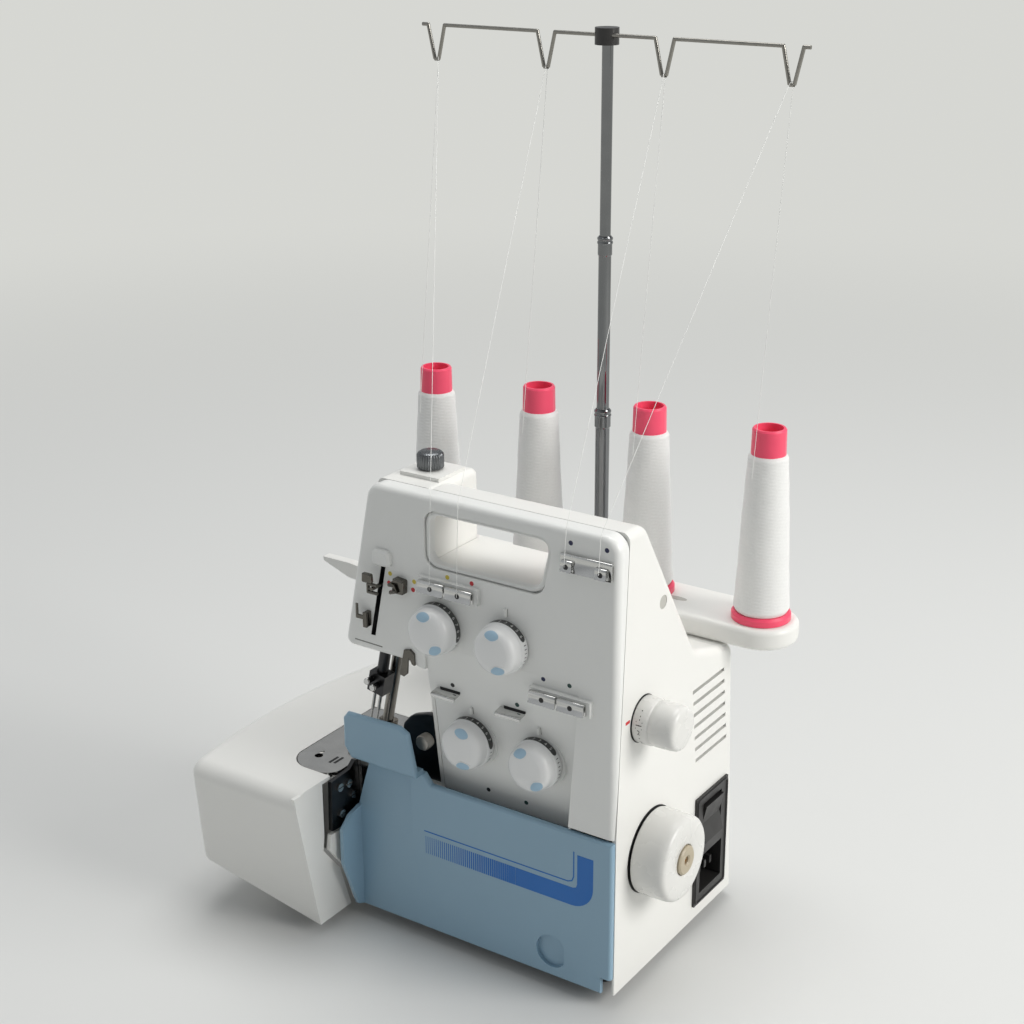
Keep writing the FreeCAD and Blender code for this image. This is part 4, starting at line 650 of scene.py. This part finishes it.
# Inlet: a block of black moulded nylon clipped into the side wall, with the rocker and the socket in it.
# A raised rim is moulded round its face.
INLET_V, INLET_Z = 114.5, 54
RIM_SECTION = ((1.0, 1.5), (0.985, 2.3), (0.945, 2.3), (0.93, 1.5))
frame_loop = rounded_loop([(95.6, 18.1), (133.4, 18.1), (133.4, 89.9), (95.6, 89.9)], 2.5)
rim_verts, rim_faces = [], []
for v, z in frame_loop:
    for share, lift in RIM_SECTION:
        upright = 1 + (share - 1) * 0.55
        rim_verts.append(spot(-lift, INLET_V + (v - INLET_V) * share, INLET_Z + (z - INLET_Z) * upright))
wide = len(RIM_SECTION)
for i in range(len(frame_loop)):
    n = (i + 1) % len(frame_loop)
    for k in range(wide - 1):
        rim_faces.append((i * wide + k, n * wide + k, n * wide + k + 1, i * wide + k + 1))
piece("inlet_rim", rim_verts, rim_faces, black_plastic, "machine")

# Tension dials: domed white caps moulded with a skirt that carries a dark printed scale, and two blue
# rubber finger patches set into raised lips. Each turns on its own threaded post over steel discs.
dial_white = moulded("dial_white", (0.82, 0.825, 0.82), (0.80, 0.805, 0.80), 0.23, 0.27, 1500, 0.00002)
patch_blue = moulded("patch_blue", (0.40, 0.58, 0.72), (0.36, 0.53, 0.67), 0.4, 0.55, 1800, 0.00004)
scale_dark = ink_and_shade("scale_dark", (0.05, 0.052, 0.05))
print_white = ink_and_shade("print_white", (0.72, 0.72, 0.70))
PATCH_AT, PATCH_TALL, PATCH_WIDE = 10.3, 2.8, 5.2
BAND_START, BAND_RADIUS, BAND_MIDDLE, BAND_HALF, BAND_STEPS = 122, 15.07, 2.9, 2.0, 40
NUMBER_RADIUS, NUMBER_STEP = 15.12, 15
TICK_RADIUS, TICK_STEP = 15.1, 9
LIP_RINGS = ((1, -0.4), (0.98, 0.22), (0.9, 0.36), (0.84, 0.3), (0.8, 0.0))
PAD_RINGS = ((1, -0.3), (0.97, 0.16), (0.8, 0.3), (0.4, 0.36))
DIAL = [(13.0, 0.2), (14.8, 0.25), (15.0, 0.6), (15.0, 5.0), (14.85, 5.4), (14.3, 5.7), (13.95, 6.3),
        (13.8, 9.4), (13.5, 11.0), (12.8, 12.3), (11.6, 13.2), (9, 13.85), (5, 14.15), (0.05, 14.25)]


def dome(radius):
    """How far the cap's face stands out at a distance from its middle."""
    rim = DIAL[8:]
    for (r0, h0), (r1, h1) in zip(rim, rim[1:]):
        if radius >= r1:
            return h1 + (h0 - h1) * (radius - r1) / (r0 - r1)
    return rim[-1][1]


def patch(centre, angle, size, lifts):
    """A rounded finger patch set on the dome near its rim, built of shrinking rings."""
    verts = []
    count = 28
    for share, lift in lifts:
        for k in range(count):
            t = 2 * math.pi * k / count
            r = PATCH_AT + PATCH_TALL * size * share * math.sin(t)
            sweep = PATCH_WIDE * size * share * math.cos(t) * (0.85 + 0.15 * math.sin(t)) / PATCH_AT
            where = math.radians(angle) - sweep
            place = Vector((r * math.cos(where), -(dome(r) + lift), r * math.sin(where)))
            verts.append(centre + place / 1000)
    return verts, rings(len(lifts), count) + [tuple(range(len(verts) - count, len(verts)))]


# Each dial: its number, place and seat, the angles of its patches, and where its dark band ends.
DIALS = ((1, 115.3, 209, 1.1, (98, -52), -20), (2, 70.5, 209, 1.1, (92, -70), 25),
         (3, 97.6, 140.6, 6.6, (80, -76), 0), (4, 52.0, 140.6, 6.6, (114, -50), 35))
for number, u, z, seat, patches, band_end in DIALS:
    body = f"tension_dial_{number}"
    middle = spot(u, seat, z)
    cap = turned(f"dial_cap_{number}", DIAL, middle, FORWARD, dial_white, body, 96)
    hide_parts(body)
    lips = [patch(middle, angle, 1.18, LIP_RINGS) for angle in patches]
    piece(f"dial_lips_{number}", *merge(*lips), dial_white, body)
    pads = [patch(middle, angle, 1.0, PAD_RINGS) for angle in patches]
    piece(f"dial_patches_{number}", *merge(*pads), patch_blue, body)
    band = []
    for k in range(BAND_STEPS + 1):
        where = math.radians(BAND_START + (band_end - BAND_START) * k / BAND_STEPS)
        half = BAND_HALF * math.sqrt(max(0.0, 1 - max(0.0, (k - BAND_STEPS + 4) / 4.2) ** 2))
        for along in (BAND_MIDDLE - half, BAND_MIDDLE + half):
            place = Vector((BAND_RADIUS * math.cos(where), -along, BAND_RADIUS * math.sin(where)))
            band.append(middle + place / 1000)
    band_faces = [(2 * k, 2 * k + 2, 2 * k + 3, 2 * k + 1) for k in range(BAND_STEPS)]
    piece(f"dial_band_{number}", band, band_faces, scale_dark, body)
    shown = [i for i in range(9) if 112 - NUMBER_STEP * i > band_end + 8]
    numbers = [around_rim(figures(str(1 + i), 2.2), middle, FORWARD, NUMBER_RADIUS, 22 - NUMBER_STEP * i,
                          BAND_MIDDLE, math.pi) for i in shown]
    piece(f"dial_numbers_{number}", *merge(*numbers), print_white, body, False)
    ticks = [around_rim(bar_mark(0.45, 1.8), middle, FORWARD, TICK_RADIUS, band_end - 98 - TICK_STEP * i,
                        BAND_MIDDLE) for i in range(6)]
    piece(f"dial_ticks_{number}", *merge(*ticks), print_black, body, False)
    peg = [(u - 1.0, z + 16.8), (u + 1.0, z + 16.8), (u + 0.8, z + 21.6), (u - 0.8, z + 21.6)]
    piece(f"dial_peg_{number}", *slab(rounded_loop(peg, 0.5), on_panel, 2.2, 0.5), panel_white, "machine")
    # A thin grey strip of painted shade runs down the peg's right side.
    shade = [(u - 1.3, z + 16.9), (u - 1.0, z + 16.9), (u - 0.8, z + 21.4), (u - 1.1, z + 21.4)]
    peg_side_shade = slab(rounded_loop(shade, 0.1), on_panel, INK_AND_SHADE_THICK, INK_AND_SHADE_RIM)
    piece(f"dial_peg_shade_{number}", *peg_side_shade, groove_shade_grey, "machine")

# Thread guides: pressed strip steel with a bright nickel finish, clipped over pads on the panel.
# Each has a rolled top edge and a front lip behind which the thread is drawn; two are plain shelves
# that stand out of slots in the panel.
guide_steel = metal("guide_steel", (0.70, 0.70, 0.69), (0.52, 0.52, 0.51), 0.07, 0.2, (0.05, 1, 1), 2600,
                    0.00001)
dark_steel = metal("dark_steel", (0.17, 0.16, 0.14), (0.11, 0.105, 0.095), 0.16, 0.34, (1, 1, 0.05), 2600,
                   0.00001)


def strip(section, left, right):
    """A bent strip: its section in (v, z), drawn from right to left with softened ends."""
    middle_v = sum(v for v, z in section) / len(section)
    middle_z = sum(z for v, z in section) / len(section)
    soft, less = 0.25, 0.93
    verts = []
    count = len(section)
    for u, share in ((right, less), (right + soft, 1.0), (left - soft, 1.0), (left, less)):
        for v, z in section:
            verts.append(spot(u, middle_v + (v - middle_v) * share, middle_z + (z - middle_z) * share))
    return verts, rings(4, count) + [tuple(range(count)), tuple(range(3 * count, 4 * count))]


def hooked(face, low, high, reach, gauge=0.8):
    """The section of a strip bent up behind, over the top and down in front of the thread."""
    outer = [(face, low)]
    inner = [(face - gauge, low)]
    bend = reach / 2
    for k in range(9):
        t = math.pi * k / 8
        outer.append((face - bend + bend * math.cos(t), high - bend + bend * math.sin(t)))
        inner.append((face - bend + (bend - gauge) * math.cos(t), high - bend + (bend - gauge) * math.sin(t)))
    outer += [(face - reach, low + 1.6), (face - reach - 0.7, low + 0.7)]
    inner += [(face - reach + gauge, low + 1.6), (face - reach + 0.2, low + 0.5)]
    return outer + inner[::-1]


guides = [strip(hooked(1.4, 261.4, 271.8, 2.4), 34.5, 3)]
for u in (8.5, 29.5):
    guides.append(strip(hooked(-0.6, 262.2, 269.0, 3.0), u + 3.4, u - 3.4))
for left, right, low in ((125.8, 108.4, 229.5), (107.2, 89.8, 229.5), (33.8, 17, 181.5), (52, 35, 181.5)):
    guides.append(strip(hooked(-1.7, low, low + 7.6, 3.4), left, right))
SHELF = [(0.0, 7.6), (-5.6, 6.6), (-6.2, 6.0), (-6.1, 4.6), (-5.5, 4.6), (-5.4, 5.8), (0.0, 6.7)]
SHELF_FACE, SHELF_LOW = 5.0, 161
shelf_slot_shades = []
for left, right in ((121.0, 104.6), (77.2, 60.2)):
    guides.append(strip([(SHELF_FACE + v, SHELF_LOW + z) for v, z in SHELF], left, right))
    slot_line = [(right, 168.4), (left - 2.5, 168.4), (left - 2.5, 169.7), (right, 169.7)]
    shelf_slot_shades.append(slab(slot_line, on_panel, 0.3, INK_AND_SHADE_RIM))
# The shelves' slots are black strips of painted shade on the panel.
piece("shelf_slot_shades", *merge(*shelf_slot_shades), painted_shadow, "machine", False)
guide_set = piece("guide_strips", *merge(*guides), guide_steel, "machine")
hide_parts("thread_guides")
# Each guide's eye is a black disc of painted shade on its front.
EYE_RADIUS = 1.5
EYES = ((117, 233.4, -5.1), (98.5, 233.4, -5.1), (25.4, 185.4, -5.1), (43.5, 185.4, -5.1), (8.5, 265.6, -3.6),
        (29.5, 265.6, -3.6))
eye_shadows = []
for u, z, front in EYES:
    eye = oval(u, z, EYE_RADIUS, EYE_RADIUS)
    eye_shadows.append(slab(eye, lambda a, h, b: spot(a, front - h, b), INK_AND_SHADE_THICK, 0.04))
piece("guide_eye_shades", *merge(*eye_shadows), painted_shadow, "machine")

# Small hooks of the head: dark strip steel bent into shape, one at the panel's left edge, one beside the
# slot and one under the head, all screwed on from inside. The take-up carries a block in front of the slot.
HOOK_WIRE = 0.0012
FIXED_HOOK = ((146, 1.6, 229), (146, -4, 229), (142.6, -4, 229.2), (141, -4, 226), (145.5, -4, 224.6))
fixed_hook = tube([spot(*place) for place in FIXED_HOOK], HOOK_WIRE, 6)
LEFT_BLADE = [(171.8, 202.5), (171.8, 211.5), (170.4, 211.5), (170.4, 205), (166.8, 205), (166.8, 207),
              (164, 207), (164, 197.8), (166.8, 197.8), (166.8, 202.5)]
left_blade = slab(LEFT_BLADE, lambda a, h, b: spot(a, -2.2 - h, b), 0.9, 0.2)
foot_loop = rounded_loop([(164, 197.8), (166.8, 197.8), (166.8, 207), (164, 207)], 0.5)
left_foot = slab(foot_loop, on_panel, 3.6, 0.3)
UNDER_BLADE = [(135.8, 190), (140.2, 188.8), (143.5, 174.7), (143.3, 172.4), (140.7, 171.8),
               (138.3, 174), (137.8, 181.3), (136.6, 184.6), (134.9, 181), (132.9, 180.5), (133, 187.6)]
under_blade = slab(UNDER_BLADE, lambda a, h, b: spot(a, PANEL_FACE - h, b), 1.4, 0.3)
HOOKS = (("hook_fixed", [fixed_hook]), ("hook_left", [left_blade, left_foot]), ("hook_under", [under_blade]))
for name, shapes in HOOKS:
    hook = piece(name, *merge(*shapes), dark_steel, "machine", False)
    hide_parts("thread_hooks")
block_loop = rounded_loop([(137.6, 223.8), (145.6, 223.8), (144.8, 233.0), (137.2, 232.2)], 1.2)
piece("fixed_guide_block", *slab(block_loop, on_panel, 4.6, 0.8), dark_steel, "machine")
paint(dark_steel, "take_up")
take_block = slab(rounded_loop([(156.2, 228.2), (163.4, 228.2), (163.0, 233.8), (156.6, 233.8)], 1.0),
                  lambda a, h, b: spot(a, -5.4 - h, b), 2.2, 0.6)
piece("take_up_block", *take_block, dark_steel, "take_up")

# Needle and presser gear: blackened needle bar and clamp with bright screws, a plated presser bar and foot.
# The bars slide in the head's frame. The needles are held by the clamp's screws, and the knives' bracket
# is blackened too.
black_steel = metal("black_steel", (0.075, 0.075, 0.077), (0.045, 0.045, 0.047), 0.22, 0.4, (1, 1, 0.05),
                    2600, 0.00001)
foot_steel = metal("foot_steel", (0.30, 0.285, 0.26), (0.20, 0.19, 0.175), 0.14, 0.3, (1, 1, 0.04), 3000,
                   0.00001)
paint(bar_steel, "needles", "upper_knife")
paint(foot_steel, "presser_bar", "presser_foot")
paint(black_steel, "needle_bar", "needle_clamp", "knife_bracket")
SCREW = [(0.3, 0), (2.0, 0), (2.1, 0.3), (2.1, 1.4), (1.8, 1.8), (0.05, 1.9)]
for number, (u, z) in enumerate(((180.4, 152), (176.2, 149)), start=1):
    turned(f"clamp_screw_{number}", SCREW, spot(u, 16.6, z), FORWARD, guide_steel, "needle", 28)

# Sewing bed: a ground steel stitch plate on the free arm with two slots of painted shade, held by its own
# domed screw.
# The knife bracket's screws have the same finish.
PLATE_TOP = 101.8
SLOT_WIDE, SLOT_LONG = 1.7, 8.5
plate_steel = metal("plate_steel", (0.62, 0.61, 0.59), (0.46, 0.455, 0.44), 0.10, 0.24, (1, 0.04, 1), 2600,
                    0.00001)
paint(plate_steel, "stitch_plate", "knife_screws")
plate_slot_shades = []
for u, v in ((192.2, -2.5), (195.2, -3.5)):
    plate_loop = [(u, v), (u + SLOT_WIDE, v), (u + SLOT_WIDE, v + SLOT_LONG), (u, v + SLOT_LONG)]
    plate_slot_shades.append(slab(plate_loop, lambda a, h, b: spot(a, b, PLATE_TOP + h), INK_AND_SHADE_THICK, INK_AND_SHADE_RIM))
piece("plate_slot_shades", *merge(*plate_slot_shades), painted_shadow, "machine", False)
PLATE_SCREW = [(0.3, -0.6), (2.4, -0.6), (2.5, 0.1), (2.2, 0.5), (0.05, 0.6)]
turned("plate_screw", PLATE_SCREW, spot(209.9, 5.7, PLATE_TOP), UP, plate_steel, "machine", 32)

# Pressure regulator: a screw of dark plated metal on top of the head, turned with a domed end.
# Its grip is fluted all round.
FLUTES, FLUTE_DEPTH, ROUND_STEPS = 28, 0.05, 168
FLUTED_LEVELS = (3, 4)
REGULATOR = [(4.2, -6), (4.2, 2.6), (7.0, 2.7), (7.4, 3.2), (7.4, 10.6), (6.9, 11.8), (5.6, 12.5),
             (0.05, 12.6)]
regulator_grey = metal("regulator_grey", (0.20, 0.21, 0.22), (0.13, 0.135, 0.14), 0.2, 0.36, (1, 1, 0.05),
                       2000, 0.00001)
axle = spot(145, 36, 285)
verts, faces = lathe(REGULATOR, axle, UP, ROUND_STEPS)
for i, vert in enumerate(verts):
    level, step = divmod(i, ROUND_STEPS)
    if level in FLUTED_LEVELS:
        flute = 1 + FLUTE_DEPTH * math.cos(2 * math.pi * FLUTES * step / ROUND_STEPS)
        verts[i] = Vector((axle.x + (vert.x - axle.x) * flute, axle.y + (vert.y - axle.y) * flute, vert.z))
regulator = piece("regulator_screw", verts, faces, regulator_grey, "regulator")
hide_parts("pressure_regulator")

# Knife holder: a blackened steel plate behind the cover's tab, with a turned knob of dull steel before it.
# Both are screwed to the frame.
KNOB = [(0.3, 0), (3.6, 0), (4.6, 0.6), (4.8, 2), (4.8, 5.5), (4.2, 6.6), (2.5, 7.0), (0.05, 7.0)]
knob_steel = metal("knob_steel", (0.46, 0.43, 0.40), (0.36, 0.34, 0.31), 0.38, 0.5, (1, 1, 1), 1800, 0.00002)
turned("tool_knob", KNOB, spot(131, 9.5, 130.5), FORWARD, knob_steel, "machine", 40)
holder_loop = rounded_loop([(126.2, 99), (150, 99), (156, 130), (149, 138), (137, 142), (126.2, 142)], 3)
knife_block = slab(holder_loop, lambda a, h, b: spot(a, 20.5 - h, b), 3.0, 0.6)
piece("knife_block", *knife_block, black_steel, "machine")

# Looper cover: a light steel-blue moulding that hangs on its rod, with a printed stripe.
# The stripe starts as fine hatching at the left, closes to solid blue and turns up at the right.
cover_blue = moulded("cover_blue", (0.27, 0.415, 0.53), (0.255, 0.395, 0.505), 0.30, 0.34, 1600, 0.00003)
paint(cover_blue, "looper_cover")
stripe_blue = ink_and_shade("stripe_blue", (0.012, 0.155, 0.52))


def on_cover(u, height, z):
    return spot(u, -height, z)


STRIPE_LOW, STRIPE_TOP, STRIPE_START = 60.5, 72, 64
BEND_U, BEND_Z, BEND_RADIUS, BEND_STEPS = 26.3, 74.5, 14, 8
HATCH_COUNT, HATCH_STEP, HATCH_WIDE, HATCH_LOSS = 43, 1.5, 1.42, 1.1
PRINT_THICK, PRINT_RIM = 0.1, 0.04
bend = []
for k in range(BEND_STEPS + 1):
    turn = math.pi / 2 * k / BEND_STEPS
    bend.append((BEND_U - BEND_RADIUS * math.sin(turn), BEND_Z - BEND_RADIUS * math.cos(turn)))
solid = [(STRIPE_START, STRIPE_TOP), (25.5, STRIPE_TOP), (23.4, 72.8), (22.7, 74.8), (22.7, 93.8),
         (12.3, 93.8)]
solid += bend[::-1] + [(STRIPE_START, STRIPE_LOW)]
stripes = [slab(solid, on_cover, PRINT_THICK, PRINT_RIM)]
for k in range(HATCH_COUNT):
    u = STRIPE_START + 0.2 + HATCH_STEP * k
    far = u + HATCH_WIDE - HATCH_LOSS * k / (HATCH_COUNT - 1)
    hatch = [(u, STRIPE_LOW), (u, STRIPE_TOP), (far, STRIPE_TOP), (far, STRIPE_LOW)]
    stripes.append(slab(hatch, on_cover, PRINT_THICK, PRINT_RIM))
fine_line = [(128.4, 74.8), (128.4, 75.6), (29, 75.6), (26.4, 76.6), (25.4, 79.2), (25.4, 95.2),
             (24.6, 95.2), (24.6, 79), (25.8, 76), (28.8, 74.8)]
stripes.append(slab(fine_line, on_cover, PRINT_THICK, PRINT_RIM))
piece("cover_stripe", *merge(*stripes), stripe_blue, "looper_cover", False)

# Cones of thread: pink moulded cores pushed on the stand's pins, each wound crosswise with white
# polyester. The winding is drawn as two crossing helices that ripple the surface.
STAND_TOP, CONE_V = 191.3, 149
CONE_LOW, CONE_TALL, CONE_GIRTH, CONE_TAPER = 5.2, 96.6, 16.6, 4.9
CONE_LEVELS, CONE_STEPS = 300, 84
RIPPLE, RIPPLE_PITCH, RIPPLE_CROSS = 0.03, 300, 8
core_pink = moulded("core_pink", (0.94, 0.085, 0.17), (0.88, 0.07, 0.145), 0.28, 0.40, 1500, 0.00003)
paint(core_pink, "spool_cores")
wound = finish("wound_thread", fibre_twist,
               {"Light": (0.86, 0.86, 0.845, 1), "Shade": (0.76, 0.76, 0.745, 1), "Lay": 900},
               (0.25, 0.00015), Sheen_Weight=0.3)
for number, u in enumerate((-11, 67, 145, 223), start=1):
    rng = random.Random(40 + number)
    drift = [rng.uniform(0, 6.28) for _ in range(4)]
    verts = []
    for i in range(CONE_LEVELS + 1):
        share = i / CONE_LEVELS
        middle = spot(u, CONE_V, STAND_TOP + (CONE_LOW + CONE_TALL * share))
        girth = CONE_GIRTH - CONE_TAPER * share
        girth -= 1.5 * max(0.0, 1 - share * 40) + 2.0 * max(0.0, (share - 0.97) / 0.03) ** 2
        girth += 0.12 * math.sin(9 * share + drift[0]) + 0.07 * math.sin(31 * share + drift[1])
        for k in range(CONE_STEPS):
            turn = 2 * math.pi * k / CONE_STEPS
            climb, swing = RIPPLE_PITCH * share, RIPPLE_CROSS * turn
            ripple = math.sin(climb + swing + drift[2]) + math.sin(climb - swing + drift[3])
            outward = Vector((math.cos(turn), math.sin(turn), 0))
            verts.append(middle + outward * (girth + RIPPLE * ripple) / 1000)
    last = CONE_LEVELS * CONE_STEPS
    ends = [tuple(range(CONE_STEPS)), tuple(range(last, last + CONE_STEPS))]
    faces = rings(CONE_LEVELS + 1, CONE_STEPS) + ends
    cone = piece(f"wound_cone_{number}", verts, faces, wound, "machine")
    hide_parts("thread_packs", "thread_windings")

# Stand fittings, telescopic pole and thread tree: chromed tubes that slide in one another with rolled
# collars, a black cap, and a crown of bent spring wire clipped into it.
POLE_U, POLE_V = 106, 160
stand_slot = slab(oval(43.6, 146.5, 6.5, 2.4, 28), lambda a, h, b: spot(a, b, STAND_TOP + h), 0.14, INK_AND_SHADE_RIM)
piece("stand_slot", *stand_slot, plug_grey, "machine")
# The pole's chrome has a dark base colour that stands in for the dark surroundings it reflects: a painted
# reflection.
pole_chrome = metal("pole_chrome", (0.22, 0.225, 0.23), (0.18, 0.185, 0.19), 0.06, 0.12, (1, 1, 0.03), 2600,
                    0.000004)
paint(pole_chrome, "pole_lower", "pole_middle", "pole_upper")
COLLAR = [(4.4, 0), (5.1, 0.2), (5.3, 0.9), (5.1, 1.6), (4.75, 1.9), (4.75, 2.3), (5.1, 2.6),
          (5.3, 3.3), (5.1, 4.0), (4.4, 4.2), (4.4, 0)]
COLLARS = (("collar_lower", 0, 292.2, "machine"), ("collar_middle", 0.55, 398.2, "pole_middle"))
COLLAR_STEPS = 40
for name, less, height, body in COLLARS:
    verts = lathe([(r - less, h) for r, h in COLLAR], spot(POLE_U, POLE_V, height), UP, COLLAR_STEPS)[0]
    piece(name, verts, rings(len(COLLAR), COLLAR_STEPS), pole_chrome, body)
paint(black_plastic, "pole_cap")
wire_steel = metal("wire_steel", (0.34, 0.33, 0.30), (0.24, 0.23, 0.21), 0.2, 0.36, (0.05, 1, 1), 2600,
                   0.00001)
paint(wire_steel, "thread_tree")
